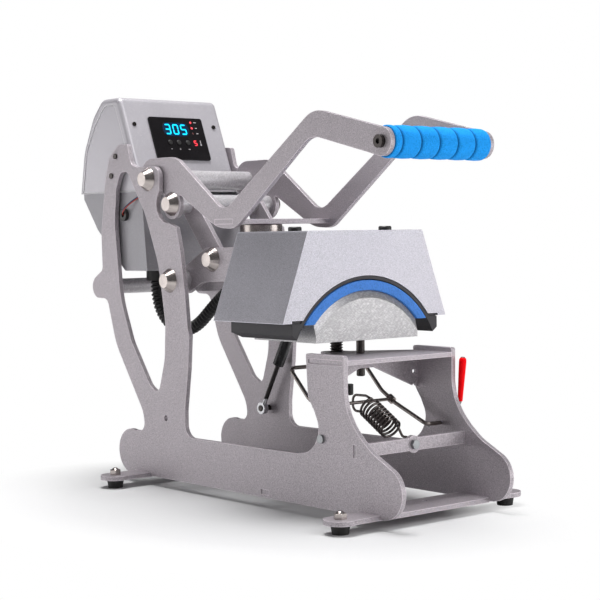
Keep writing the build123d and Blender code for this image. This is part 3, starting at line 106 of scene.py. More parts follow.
# ------------------------------------------------------------------ shader writing
class Signal:
    """A shader socket that can be used in arithmetic."""

    def __init__(self, recipe: "Recipe", socket: bpy.types.NodeSocket) -> None:
        """Keep the recipe that owns the socket."""
        self.recipe = recipe
        self.socket = socket

    def _maths(self, operation: str, *values: Any) -> "Signal":
        """Add one Math node.

        Args:
            operation: The node's operation.
            values: Its inputs, numbers or signals.

        Returns:
            The node's result.
        """
        return self.recipe.node("ShaderNodeMath", {"operation": operation}, dict(enumerate(values)))

    def __add__(self, other: Any) -> "Signal":
        """Return the sum."""
        return self._maths("ADD", self, other)

    def __radd__(self, other: Any) -> "Signal":
        """Return the sum."""
        return self._maths("ADD", other, self)

    def __sub__(self, other: Any) -> "Signal":
        """Return the difference."""
        return self._maths("SUBTRACT", self, other)

    def __rsub__(self, other: Any) -> "Signal":
        """Return the difference from a number."""
        return self._maths("SUBTRACT", other, self)

    def __mul__(self, other: Any) -> "Signal":
        """Return the product."""
        return self._maths("MULTIPLY", self, other)

    def __rmul__(self, other: Any) -> "Signal":
        """Return the product."""
        return self._maths("MULTIPLY", other, self)

    def highest(self, other: Any) -> "Signal":
        """Return the larger of two values."""
        return self._maths("MAXIMUM", self, other)

    def swing(self, reach: float) -> "Signal":
        """Return how far the value is from one half, times a reach."""
        return (self - 0.5) * reach

    def spread(self, low: float, high: float) -> "Signal":
        """Map the range from low to high to 0 to 1, held at its ends."""
        return self.recipe.node(
            "ShaderNodeMapRange", {"clamp": True}, {"Value": self, "From Min": low, "From Max": high}
        )


class Recipe:
    """The node tree of a material or of the world, while it is written."""

    bevel_samples: ClassVar[int] = 6
    flat_to_edge: ClassVar[Pair] = (0.9995, 0.96)

    def __init__(self, owner: bpy.types.Material | bpy.types.World, output: str) -> None:
        """Empty the owner's tree and add its output.

        Args:
            owner: What the tree belongs to.
            output: The type of its output node.
        """
        self.owner = owner
        owner.use_nodes = True
        self.tree = owner.node_tree
        self.tree.nodes.clear()
        self.output = self.tree.nodes.new(output)

    @classmethod
    def of_material(cls, name: str) -> "Recipe":
        """Start a new material."""
        return cls(bpy.data.materials.new(name), "ShaderNodeOutputMaterial")

    @classmethod
    def of_world(cls, name: str) -> "Recipe":
        """Start a new world."""
        return cls(bpy.data.worlds.new(name), "ShaderNodeOutputWorld")

    def node(
        self,
        kind: str,
        settings: dict[str, Any] | None = None,
        inputs: dict[Any, Any] | None = None,
        result: Any = 0,
    ) -> Signal:
        """Add a node.

        Args:
            kind: The node's type.
            settings: Its properties.
            inputs: Values or signals for its sockets, by name or number.
            result: The output that is returned, by name or number.

        Returns:
            The chosen output.
        """
        made = self.tree.nodes.new(kind)
        for key, value in (settings or {}).items():
            setattr(made, key, value)
        for key, value in (inputs or {}).items():
            target = made.inputs[key]
            if isinstance(value, Signal):
                self.tree.links.new(value.socket, target)
            elif isinstance(value, tuple) and len(value) == 3 and target.type == "RGBA":
                target.default_value = (*value, 1.0)
            else:
                target.default_value = value
        return Signal(self, made.outputs[result])

    def place(self, stretch: Spot = (1, 1, 1), turn: Spot = (0, 0, 0)) -> Signal:
        """Give the surface coordinates, turned and stretched.

        Args:
            stretch: How much longer a pattern gets along its own three directions.
            turn: Turns of the pattern about the three directions, in degrees.

        Returns:
            The coordinates.
        """
        read = self.node("ShaderNodeTexCoord", result="Object")
        turned = tuple(math.radians(angle) for angle in turn)
        return self.node(
            "ShaderNodeMapping", {"vector_type": "TEXTURE"},
            {"Vector": read, "Rotation": turned, "Scale": stretch},
        )

    def noise(self, where: Signal, scale: float, detail: float = 2.0, rough: float = 0.5) -> Signal:
        """Give a noise value.

        Args:
            where: Coordinates.
            scale: Cells per metre.
            detail: Octaves.
            rough: Strength of the finer octaves.

        Returns:
            A value about one half.
        """
        return self.node(
            "ShaderNodeTexNoise", {},
            {"Vector": where, "Scale": scale, "Detail": detail, "Roughness": rough},
        )

    def vectors(self, operation: str, first: Signal, second: Any, result: str = "Value") -> Signal:
        """Add one Vector Math node.

        Args:
            operation: The node's operation.
            first: Its first input.
            second: Its second input, three numbers or a signal.
            result: The output that is returned.

        Returns:
            The node's result.
        """
        return self.node("ShaderNodeVectorMath", {"operation": operation}, {0: first, 1: second}, result)

    def rounded(self, radius: float) -> Signal:
        """Give the normal of edges rounded by a radius in millimetres."""
        return self.node("ShaderNodeBevel", {"samples": self.bevel_samples}, {"Radius": radius * MM})

    def edges(self, radius: float) -> Signal:
        """Give 0 on flat ground, up to 1 along edges, within a radius in millimetres."""
        flat = self.node("ShaderNodeNewGeometry", result="Normal")
        return self.vectors("DOT_PRODUCT", self.rounded(radius), flat).spread(*self.flat_to_edge)

    def blend(self, share: Any, first: Any, second: Any) -> Signal:
        """Mix two colours by a share."""
        return self.node("ShaderNodeMix", {"data_type": "RGBA"}, {0: share, 6: first, 7: second}, 2)

    def bump(self, height: Signal, depth: float, strength: float, normal: Signal | None = None) -> Signal:
        """Raise the surface by a height.

        Args:
            height: From 0 to 1.
            depth: Millimetres of relief at 1.
            strength: Share of it that shows.
            normal: The normal it starts from.

        Returns:
            The new normal.
        """
        inputs: dict[Any, Any] = {"Height": height, "Distance": depth * MM, "Strength": strength}
        if normal is not None:
            inputs["Normal"] = normal
        return self.node("ShaderNodeBump", {}, inputs)

    def show(self, shader: Signal) -> bpy.types.Material | bpy.types.World:
        """Link the finished shader to the output and return what the tree belongs to."""
        self.tree.links.new(shader.socket, self.output.inputs["Surface"])
        return self.owner

    def surface(self, **sockets: Any) -> bpy.types.Material:
        """Finish the material with one Principled shader.

        Args:
            sockets: Values or signals, with underscores for the spaces in the sockets' names.

        Returns:
            The material.
        """
        named = {key.replace("_", " "): value for key, value in sockets.items()}
        return self.show(self.node("ShaderNodeBsdfPrincipled", {}, named))


# ------------------------------------------------------------------ finishes
@dataclass(frozen=True)
class PowderCoat:
    """Fine metallic powder coat: a grainy silver film over sheet steel, with bright flecks that are partly
    its metal flakes and partly painted glints, and a painted highlight along the edges.
    """

    name: str
    colour: Colour
    grain: float = 680.0
    contrast: float = 0.9
    roughness: float = 0.42
    metallic: float = 0.35
    relief: float = 0.5
    edge: float = 0.9
    painted_edge_highlight: float = 0.8
    cloud: float = 14.0
    dark: float = 0.55
    light: float = 1.45
    glint: float = 2.2

    def make(self) -> bpy.types.Material:
        """Return the material."""
        recipe = Recipe.of_material(self.name)
        where = recipe.place()
        fine = recipe.noise(where, self.grain, 2.0, 0.7)
        broad = recipe.noise(where, self.cloud, 3.0, 0.55)
        fleck = recipe.noise(where, self.grain * 1.7, 0.0)
        shade = fine.swing(self.contrast * 2.0) + broad.swing(0.16) + 0.5
        glint = tinted(self.colour, self.glint)
        grainy = recipe.blend(shade, tinted(self.colour, self.dark), tinted(self.colour, self.light))
        # Bright flecks: partly the coat's metal flakes, partly painted glints.
        film = recipe.blend(fleck.spread(0.64, 0.76) * 0.35, grainy, glint)
        # Painted highlight: the edges are blended towards the bright glint colour.
        base = recipe.blend(recipe.edges(self.edge * 1.3) * self.painted_edge_highlight, film, glint)
        rough = fine.swing(0.3) + broad.swing(0.12) + self.roughness
        normal = recipe.bump(fine, 0.35, self.relief, recipe.rounded(self.edge))
        return recipe.surface(Base_Color=base, Roughness=rough, Metallic=self.metallic, Normal=normal)


@dataclass(frozen=True)
class MachinedAluminium:
    """Bright milled aluminium, with the cutter's crossing strokes on its faces."""

    name: str
    colour: Colour
    roughness: float = 0.34
    metallic: float = 0.5
    stroke: Spot = (5.0, 1.0, 1.0)
    falling_turn: float = 24.0
    falling_strokes: float = 1050.0
    rising_turn: float = -38.0
    rising_strokes: float = 900.0

    def make(self) -> bpy.types.Material:
        """Return the material."""
        recipe = Recipe.of_material(self.name)
        down = recipe.place(self.stroke, (0, self.falling_turn, 0))
        up = recipe.place(self.stroke, (0, self.rising_turn, 0))
        falling = recipe.noise(down, self.falling_strokes, 1.0)
        rising = recipe.noise(up, self.rising_strokes, 1.0)
        cloud = recipe.noise(recipe.place(), 30.0, 3.0)
        marks = falling * 0.6 + rising * 0.4
        shade = marks.swing(3.2) + cloud.swing(0.5) + 0.5
        base = recipe.blend(shade.spread(0.35, 1.1), tinted(self.colour, 0.85), tinted(self.colour, 1.6))
        rough = marks.swing(0.3) + self.roughness
        normal = recipe.bump(marks, 0.1, 0.15, recipe.rounded(0.5))
        return recipe.surface(Base_Color=base, Roughness=rough, Metallic=self.metallic, Normal=normal)


@dataclass(frozen=True)
class TurnedMetal:
    """Bare turned or drawn metal, polished or plated, with faint rings and handling marks."""

    name: str
    colour: Colour
    roughness: float
    metallic: float = 1.0
    smudge: float = 0.10
    ring: float = 1400.0
    ring_stretch: Spot = (0.17, 1.0, 1.0)
    edge: float = 0.4

    def make(self) -> bpy.types.Material:
        """Return the material."""
        recipe = Recipe.of_material(self.name)
        where = recipe.place()
        rings = recipe.noise(recipe.place(self.ring_stretch), self.ring, 1.0)
        film = recipe.noise(where, 60.0, 4.0, 0.6)
        fine = recipe.noise(where, 900.0, 2.0, 0.6)
        base = recipe.blend(film.spread(0.3, 0.75), self.colour, tinted(self.colour, 0.78))
        rough = film.spread(0.35, 0.8) * self.smudge + rings.swing(0.06) + self.roughness
        normal = recipe.bump(rings * 0.5 + fine * 0.5, 0.1, 0.12, recipe.rounded(self.edge))
        return recipe.surface(Base_Color=base, Roughness=rough, Metallic=self.metallic, Normal=normal)


@dataclass(frozen=True)
class RodMetal:
    """Dark hardened rod whose lowest end, below a height, is a bright plated fitting."""

    name: str
    colour: Colour
    fitting: Colour
    fitting_top: float
    fade: float = 0.6
    roughness: float = 0.16
    metallic: float = 0.9

    def make(self) -> bpy.types.Material:
        """Return the material."""
        recipe = Recipe.of_material(self.name)
        where = recipe.place()
        height = recipe.node("ShaderNodeSeparateXYZ", {}, {"Vector": where}, "Z")
        bright = height.spread((self.fitting_top + self.fade) * MM, (self.fitting_top - self.fade) * MM)
        film = recipe.noise(where, 160.0, 4.0, 0.6)
        plain = recipe.blend(film, tinted(self.colour, 0.7), self.colour)
        base = recipe.blend(bright, plain, self.fitting)
        rough = film.spread(0.3, 0.8) * 0.15 + self.roughness
        normal = recipe.bump(film, 0.1, 0.1, recipe.rounded(0.4))
        return recipe.surface(Base_Color=base, Roughness=rough, Metallic=self.metallic, Normal=normal)


@dataclass(frozen=True)
class CastCoat:
    """Dark non-stick coat over a cast heater: a slight orange peel with rubbed patches."""

    name: str
    colour: Colour
    roughness: float
    metallic: float = 0.15

    def make(self) -> bpy.types.Material:
        """Return the material."""
        recipe = Recipe.of_material(self.name)
        where = recipe.place()
        peel = recipe.noise(where, 420.0, 3.0, 0.55)
        rubbed = recipe.noise(where, 35.0, 4.0, 0.6)
        base = recipe.blend(rubbed.spread(0.45, 0.8) * 0.6, self.colour, tinted(self.colour, 1.7))
        rough = rubbed.swing(0.25) + peel.swing(0.15) + self.roughness
        normal = recipe.bump(peel, 0.3, 0.35, recipe.rounded(0.9))
        return recipe.surface(Base_Color=base, Roughness=rough, Metallic=self.metallic, Normal=normal)


@dataclass(frozen=True)
class Foam:
    """Closed-cell foam: matt, pored and a little uneven in colour."""

    name: str
    colour: Colour
    pores: float = 620.0
    roughness: float = 0.82
    relief: float = 0.55
    shine: float = 0.12

    def skin(self, recipe: Recipe, where: Signal, tone: Signal) -> Signal:
        """Give the colour of the skin, which here is the plain tone."""
        return tone

    def make(self) -> bpy.types.Material:
        """Return the material."""
        recipe = Recipe.of_material(self.name)
        where = recipe.place()
        cells = recipe.node(
            "ShaderNodeTexVoronoi", {"feature": "F1"}, {"Vector": where, "Scale": self.pores}
        )
        grain = recipe.noise(where, self.pores * 0.8, 3.0, 0.65)
        patch = recipe.noise(where, 45.0, 3.0)
        pored = cells.spread(0.1, 0.6) * 0.5 + grain * 0.5
        shade = (pored - 0.4) * 1.2 + patch.swing(0.5) + 0.5
        tone = recipe.blend(
            shade.spread(0.1, 0.9), tinted(self.colour, 0.72), tinted(self.colour, 1.22, 0.012)
        )
        return recipe.surface(
            Base_Color=self.skin(recipe, where, tone), Roughness=grain.swing(0.2) + self.roughness,
            Normal=recipe.bump(pored, 0.5, self.relief), Specular_IOR_Level=self.shine,
        )


@dataclass(frozen=True)
class RingedFoam(Foam):
    """Foam sleeve round a bar along x, with painted shade darkening the floor of its pressed rings."""

    axis: Spot = (0.0, 0.0, 0.0)
    ring_radius: float = 0.0
    skin_radius: float = 0.0

    def skin(self, recipe: Recipe, where: Signal, tone: Signal) -> Signal:
        """Darken the tone with painted shade towards the floor of the rings.

        Args:
            recipe: The material in the making.
            where: Its coordinates.
            tone: The foam's own colour.

        Returns:
            The colour with painted shade in the rings.
        """
        across = recipe.vectors("MULTIPLY", where, (0.0, 1.0, 1.0), "Vector")
        from_axis = recipe.vectors("DISTANCE", across, tuple(spot(*self.axis)))
        height = from_axis.spread(self.ring_radius * MM, self.skin_radius * MM)
        # Painted shade: the colour darkens towards the floor of each ring.
        return recipe.blend(height, tinted(self.colour, 0.3), tone)


@dataclass(frozen=True)
class Moulded:
    """Moulded plastic, rubber or vinyl: fine texture, worn a little unevenly."""

    name: str
    colour: Colour
    roughness: float
    grain: float = 700.0
    relief: float = 0.25
    worn: float = 0.5
    shine: float = 0.5

    def make(self) -> bpy.types.Material:
        """Return the material."""
        recipe = Recipe.of_material(self.name)
        where = recipe.place()
        grain = recipe.noise(where, self.grain, 3.0, 0.6)
        worn = recipe.noise(where, 40.0, 4.0, 0.6)
        light = tinted(self.colour, 1.5, 0.02 * self.worn)
        base = recipe.blend(worn.spread(0.4, 0.85) * self.worn, self.colour, light)
        rough = worn.swing(0.25) + grain.swing(0.15) + self.roughness
        normal = recipe.bump(grain, 0.2, self.relief, recipe.rounded(0.4))
        return recipe.surface(
            Base_Color=base, Roughness=rough, Normal=normal, Specular_IOR_Level=self.shine
        )


@dataclass(frozen=True)
class GlossPanel:
    """Printed polyester overlay over a keypad: glossy, with a dusting of small marks."""

    name: str
    colour: Colour
    roughness: float = 0.16
    shine: float = 0.35

    def make(self) -> bpy.types.Material:
        """Return the material."""
        recipe = Recipe.of_material(self.name)
        where = recipe.place()
        dust = recipe.noise(where, 300.0, 3.0, 0.7)
        haze = recipe.noise(where, 28.0, 3.0, 0.6)
        base = recipe.blend(haze.spread(0.45, 0.8) * 0.5, self.colour, tinted(self.colour, 2.2))
        rough = haze.spread(0.3, 0.8) * 0.14 + dust.spread(0.6, 0.8) * 0.1 + self.roughness
        normal = recipe.bump(dust, 0.04, 0.15)
        return recipe.surface(
            Base_Color=base, Roughness=rough, Normal=normal, Specular_IOR_Level=self.shine
        )


@dataclass(frozen=True)
class Glow:
    """Lit segment of a display, a little uneven in its light."""

    name: str
    colour: Colour
    strength: float
    roughness: float = 0.35

    def make(self) -> bpy.types.Material:
        """Return the material."""
        recipe = Recipe.of_material(self.name)
        flicker = recipe.noise(recipe.place(), 900.0)
        lit = recipe.blend(flicker.spread(0.3, 0.6), tinted(self.colour, 0.72), self.colour)
        return recipe.surface(
            Base_Color=lit, Roughness=self.roughness, Emission_Color=lit, Emission_Strength=self.strength
        )


class Coat(Enum):
    """The finishes of the machine, by what they are on."""

    PLATES = PowderCoat("silver_grey_powder_coat", (0.405, 0.368, 0.395))
    HEAD = PowderCoat(
        "silver_head_coat", (0.415, 0.405, 0.445), grain=950.0, contrast=0.8, roughness=0.38, metallic=0.65
    )
    HOUSING = PowderCoat(
        "silver_housing_paint", (0.49, 0.47, 0.505), grain=800.0, contrast=0.08, roughness=0.36,
        relief=0.15, edge=1.2,
    )
    # Painted shade: the same housing paint, darkened because the base sits in shade under the plates.
    HOUSING_IN_PAINTED_SHADE = PowderCoat(
        "housing_paint_with_painted_shade", (0.29, 0.28, 0.30), grain=800.0, contrast=0.08, roughness=0.4,
        relief=0.15, edge=1.2,
    )
    TUBES = PowderCoat("silver_tube_coat", (0.52, 0.50, 0.52), grain=420.0, contrast=0.5, roughness=0.4)
    PLATEN = CastCoat("charcoal_cast_coat", (0.022, 0.020, 0.024), roughness=0.5)
    FORM = MachinedAluminium("machined_form_aluminium", (0.36, 0.352, 0.36))
    CHROME = TurnedMetal("polished_pivot_chrome", (0.50, 0.45, 0.43), roughness=0.2)
    BLACK = TurnedMetal("blackened_steel", (0.07, 0.062, 0.06), roughness=0.22, metallic=0.9)
    ZINC = TurnedMetal("zinc_plated_steel", (0.34, 0.35, 0.36), roughness=0.3, smudge=0.2)
    SPRING = TurnedMetal("oiled_spring_steel", (0.15, 0.13, 0.125), roughness=0.22, smudge=0.2)
    WIRE = TurnedMetal("drawn_steel_wire", (0.30, 0.265, 0.25), roughness=0.24, smudge=0.25)
    GAS_ROD = RodMetal("dark_gas_rod", (0.06, 0.055, 0.055), (0.62, 0.62, 0.64), 104.0)
    BARE_TUBE = TurnedMetal("dark_gas_tube", (0.02, 0.02, 0.021), roughness=0.22, metallic=0.3)
    RUBBER = Moulded("black_foot_rubber", (0.012, 0.011, 0.011), roughness=0.62)
    PLASTIC = Moulded("black_moulded_plastic", (0.013, 0.012, 0.012), roughness=0.42)
    HOSE = Moulded("black_hose_plastic", (0.008, 0.0075, 0.008), roughness=0.30, worn=0.2)
    VINYL = Moulded(
        "red_dipped_vinyl", (0.99, 0.0, 0.004), roughness=0.42, relief=0.1, worn=0.1, shine=0.08
    )
    GRIP = RingedFoam(
        "blue_grip_foam", (0.003, 0.27, 0.75), axis=(0.0, *GRIP_BAR), ring_radius=15.6, skin_radius=17.9
    )
    PAD = Foam("blue_silicone_pad", (0.058, 0.20, 0.58), pores=520.0, roughness=0.7, relief=0.7)
    PANEL = GlossPanel("black_keypad_overlay", (0.007, 0.006, 0.007))
    BOARD = Moulded("green_circuit_board", (0.012, 0.10, 0.03), roughness=0.4)
    DIGITS = Glow("lit_cyan_digits", (0.0, 0.62, 1.0), 1.0)
    RED_LIGHT = Glow("lit_red_lamp", (0.95, 0.05, 0.07), 0.9)
    DIM_LIGHT = Glow("unlit_red_lamp", (0.06, 0.006, 0.006), 0.2)
    WINDOW = Moulded("blue_display_window", (0.002, 0.018, 0.05), roughness=0.25, relief=0.05)
    PRINT = Moulded("grey_panel_print", (0.42, 0.40, 0.41), roughness=0.5, relief=0.05)
    BLUE_LEAD = Moulded("blue_lead_insulation", (0.012, 0.05, 0.13), roughness=0.4, worn=0.1)
    RED_LEAD = Moulded("red_lead_insulation", (0.42, 0.05, 0.03), roughness=0.4, worn=0.1)

    def material(self) -> bpy.types.Material:
        """Return the finish's material, made once."""
        return bpy.data.materials.get(self.value.name) or self.value.make()


@dataclass(frozen=True)
class Wardrobe:
    """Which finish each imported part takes."""

    parts: dict[Coat, tuple[str, ...]]

    def dress(self, nodes: dict[str, bpy.types.Object]) -> None:
        """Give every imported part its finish.

        Args:
            nodes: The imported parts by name.
        """
        left = set(nodes)
        for coat, names in self.parts.items():
            for name in names:
                data = nodes[name].data
                data.materials.clear()
                data.materials.append(coat.material())
                left.discard(name)
        for name in sorted(left):
            log.warning("%s has no finish of its own", name)


WARDROBE = Wardrobe(
    {
        Coat.PLATES: (
            "left_side_plate", "right_side_plate", "top_plate", "tower_apron", "crossbars", "foot_plates",
            "left_handle_plate", "right_handle_plate", "handle_cross_plate", "left_link", "right_link",
            "left_arm", "right_arm", "arm_brace", "magnet_bracket",
        ),
        Coat.HEAD: ("head_shell",),
        Coat.HOUSING: ("housing_cover", "housing_side_panels"),
        Coat.HOUSING_IN_PAINTED_SHADE: ("housing_base",),
        Coat.TUBES: (
            "rear_cross_tube", "handle_cross_tube", "link_spacers", "arm_cross_tube", "head_pivot_spacers",
        ),
        Coat.PLATEN: ("heater_platen", "heating_element"),
        Coat.FORM: ("form_block",),
        Coat.CHROME: (
            "frame_pivot_caps", "frame_pivot_shafts", "link_shaft", "arm_studs", "electromagnet",
            "foot_nuts", "grip_bar",
        ),
        Coat.BLACK: ("housing_screws", "grip_screws", "guide_pin", "pressure_screw", "gas_stud"),
        Coat.ZINC: ("zinc_bolts",),
        Coat.GAS_ROD: ("gas_rod",),
        Coat.SPRING: ("bail_spring",),
        Coat.WIRE: ("bail_wire", "bail_cross_wire"),
        Coat.BARE_TUBE: ("gas_cylinder",),
        Coat.RUBBER: ("rubber_feet",),
        Coat.PLASTIC: (
            "head_fittings", "housing_glands", "power_inlet", "pressure_knob", "up_button",
            "down_button", "set_button", "power_switch",
        ),
        Coat.HOSE: ("heater_hose",),
        Coat.GRIP: ("grip_foam",),
        Coat.PAD: ("form_pad",),
        Coat.VINYL: ("lever_sleeve",),
        Coat.PANEL: ("display_panel",),
        Coat.BOARD: ("control_board",),
    }
)


# ------------------------------------------------------------------ meshes
def placed(name: str, data: Any) -> bpy.types.Object:
    """Put data into the scene as an object at the origin.

    Args:
        name: The object's name.
        data: Its mesh, curve, light or camera.

    Returns:
        The object.
    """
    made = bpy.data.objects.new(name, data)
    bpy.context.scene.collection.objects.link(made)
    return made


class Piece:
    """A mesh in the making, which ends as an object at the origin."""

    def __init__(self, name: str) -> None:
        """Start an empty mesh."""
        self.name = name
        self.mesh = bmesh.new()

    def outline(self, points: list[Vector], closed: bool = False) -> list[Any]:
        """Draw edges through points.

        Args:
            points: The places in order.
            closed: Whether the last joins the first.

        Returns:
            The vertices and edges.
        """
        verts = [self.mesh.verts.new(point) for point in points]
        pairs = list(zip(verts, verts[1:]))
        if closed:
            pairs.append((verts[-1], verts[0]))
        return verts + [self.mesh.edges.new(pair) for pair in pairs]

    def turn(self, geometry: list[Any], centre: Vector, axis: Vector, steps: int) -> None:
        """Spin edges a full turn about an axis."""
        bmesh.ops.spin(
            self.mesh, geom=geometry, cent=centre, axis=axis, angle=math.tau, steps=steps, use_merge=True
        )

    def weld(self, distance: float) -> None:
        """Join the points that are closer than a distance in metres."""
        bmesh.ops.remove_doubles(self.mesh, verts=self.mesh.verts, dist=distance)

    def soften(self, edges: list[Any], width: float, segments: int) -> None:
        """Round edges, taking a width in millimetres from each side."""
        bmesh.ops.bevel(
            self.mesh, geom=edges, offset=width * MM, segments=segments, profile=0.5,
            affect="EDGES", material=-1, clamp_overlap=True,
        )

    def finish(self, coat: Coat, smooth: bool = True) -> bpy.types.Object:
        """Turn the mesh into an object.

        Args:
            coat: Its finish.
            smooth: Whether its shading is smooth.

        Returns:
            The object, at the origin.
        """
        self.weld(POINT_WELD)
        bmesh.ops.recalc_face_normals(self.mesh, faces=self.mesh.faces)
        for face in self.mesh.faces:
            face.smooth = smooth
        data = bpy.data.meshes.new(self.name)
        self.mesh.to_mesh(data)
        self.mesh.free()
        data.materials.append(coat.material())
        log.info("%s: %d faces", self.name, len(data.polygons))
        return placed(self.name, data)


class PassingCurve:
    """A curve of one spline, which is read as a mesh and then removed."""

    def __init__(self, kind: str, points: list[Vector]) -> None:
        """Start the curve.

        Args:
            kind: The spline's type.
            points: Its points, in metres.
        """
        self.data = bpy.data.curves.new("passing_curve", "CURVE")
        self.data.dimensions = "3D"
        self.data.resolution_u = CURVE_STEPS
        self.spline = self.data.splines.new(kind)
        self.spline.points.add(len(points) - 1)
        for point, place in zip(self.spline.points, points):
            point.co = (*place, 1.0)

    def read(self) -> bpy.types.Mesh:
        """Read the curve as a mesh and remove it.

        Returns:
            The mesh.
        """
        holder = placed(self.data.name, self.data)
        bpy.context.view_layer.update()
        mesh = bpy.data.meshes.new_from_object(holder)
        bpy.data.objects.remove(holder)
        bpy.data.curves.remove(self.data)
        return mesh


def curve_line(route: list[Vector]) -> list[Vector]:
    """Read the smooth line of a route.

    Args:
        route: Its control points.

    Returns:
        Points along a NURBS spline of order 3.
    """
    curve = PassingCurve("NURBS", route)
    curve.spline.order_u = 3
    curve.spline.use_endpoint_u = True
    line = curve.read()
    points = [vert.co.copy() for vert in line.vertices]
    bpy.data.meshes.remove(line)
    return points


def line_length(points: list[Vector]) -> float:
    """Return the length of the line through points."""
    return sum((after - before).length for before, after in zip(points, points[1:]))


def even_points(points: list[Vector], step: float) -> list[Vector]:
    """Walk a line in even steps.

    Args:
        points: The line.
        step: About how far apart the results are, in metres.

    Returns:
        Evenly spaced points from its first to its last.
    """
    lengths = [0.0]
    for before, after in zip(points, points[1:]):
        lengths.append(lengths[-1] + (after - before).length)
    count = max(2, round(lengths[-1] / step))
    walked, index = [], 0
    for number in range(count + 1):
        goal = lengths[-1] * number / count
        while index < len(points) - 2 and lengths[index + 1] < goal:
            index += 1
        run = lengths[index + 1] - lengths[index]
        share = 0.0 if run == 0 else (goal - lengths[index]) / run
        walked.append(points[index].lerp(points[index + 1], min(1.0, share)))
    return walked


def tube_along(
    name: str, points: list[Vector], radii: list[float], coat: Coat, sides: int
) -> bpy.types.Object:
    """Sweep a round section along a line.

    Args:
        name: The piece's name.
        points: The line, in metres.
        radii: The radius at each point, in metres.
        coat: Its finish.
        sides: The section's faces, an even number from 4.

    Returns:
        The tube as a mesh object.
    """
    curve = PassingCurve("POLY", points)
    curve.data.bevel_depth = 1.0
    curve.data.bevel_resolution = sides // 2 - 2
    curve.data.use_fill_caps = True
    for point, radius in zip(curve.spline.points, radii):
        point.radius = radius
    swept = curve.read()
    piece = Piece(name)
    piece.mesh.from_mesh(swept)
    bpy.data.meshes.remove(swept)
    return piece.finish(coat)


# ------------------------------------------------------------------ sub-assemblies
class SubAssembly(ABC):
    """Something that is built in one go."""

    @abstractmethod
    def build(self) -> None:
        """Make its objects and say what they are."""


@dataclass
class HeaterHose(SubAssembly):
    """Corrugated hose that carries the heater's wires from the control housing to the head."""

    diameter: float = 17.0
    rib_pitch: float = 5.4
    rib_depth: float = 2.5
    rib_fullness: float = 0.6
    points_per_rib: int = 7
    sides: int = 14
    route: tuple[Spot, ...] = (
        (-40, 523, 279.2), (-40, 523, 244.5), (-39, 506.5, 215), (-36.5, 476.5, 200), (-33, 443.5, 204),
        (-29, 404, 238), (-25, 350, 275), (-20, 318, 290), (-20, 277.3, 290),
    )
    bend_from: int = 1
    bend_to: int = 6

    def radius(self, number: int) -> float:
        """Give the hose's radius at a point.

        Args:
            number: The point's number, where each rib's first is on its crest.

        Returns:
            The radius, in metres.
        """
        wave = 0.5 + 0.5 * math.cos(math.tau * number / self.points_per_rib)
        return self.diameter / 2 * MM - self.rib_depth * MM * (1 - wave ** self.rib_fullness)

    def build(self) -> None:
        """Sweep the ribbed tube and bend it between the housing and the head."""
        line = curve_line([spot(*place) for place in self.route])
        points = even_points(line, self.rib_pitch * MM / self.points_per_rib)
        radii = [self.radius(number) for number in range(len(points))]
        hose = tube_along("corrugated_hose", points, radii, Coat.HOSE, self.sides)
        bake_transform(hose)
        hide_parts("heater_hose")
        line_length(points)


@dataclass
class MagnetLeads(SubAssembly):
    """Pair of thin wires that come out of the housing's grommet and go round its front corner."""

    diameter: float = 1.5
    spacing: float = 1.7
    step: float = 1.0
    sides: int = 8
    route: tuple[Spot, ...] = (
        (-80.5, 534, 353.5), (-86.5, 533.5, 354.5), (-87, 527, 361), (-84.5, 516, 368.5),
        (-81.3, 506, 374), (-81.2, 499, 376.5), (-79.5, 495.5, 377.5), (-75, 499, 378),
    )

    def sweep(self, name: str, coat: Coat, lift: float) -> None:
        """Sweep one wire.

        Args:
            name: Its name.
            coat: Its insulation.
            lift: How far it lies above the route, in millimetres.
        """
        places = [spot(x, station, height + lift) for x, station, height in self.route]
        points = even_points(curve_line(places), self.step * MM)
        lead = tube_along(name, points, [self.diameter / 2 * MM] * len(points), coat, self.sides)
        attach(lead, "frame")
        line_length(points)

    def build(self) -> None:
        """Sweep both wires, one over the other."""
        self.sweep("magnet_lead_blue", Coat.BLUE_LEAD, self.spacing)
        self.sweep("magnet_lead_red", Coat.RED_LEAD, 0.0)


@dataclass
class BailSpring(SubAssembly):
    """Tension spring of the bail, between the front crossbar and the cross wire."""

    packed: bpy.types.Object
    low: Spot = (0, 79.9, 83.15)
    high: Spot = (0, 171.9, 123.3)

    def build(self) -> None:
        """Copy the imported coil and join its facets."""
        piece = Piece("bail_tension_spring")
        piece.mesh.from_mesh(self.packed.data)
        piece.weld(FACET_WELD)
        spring = piece.finish(Coat.SPRING)
        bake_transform(spring)
        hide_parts("bail_spring")


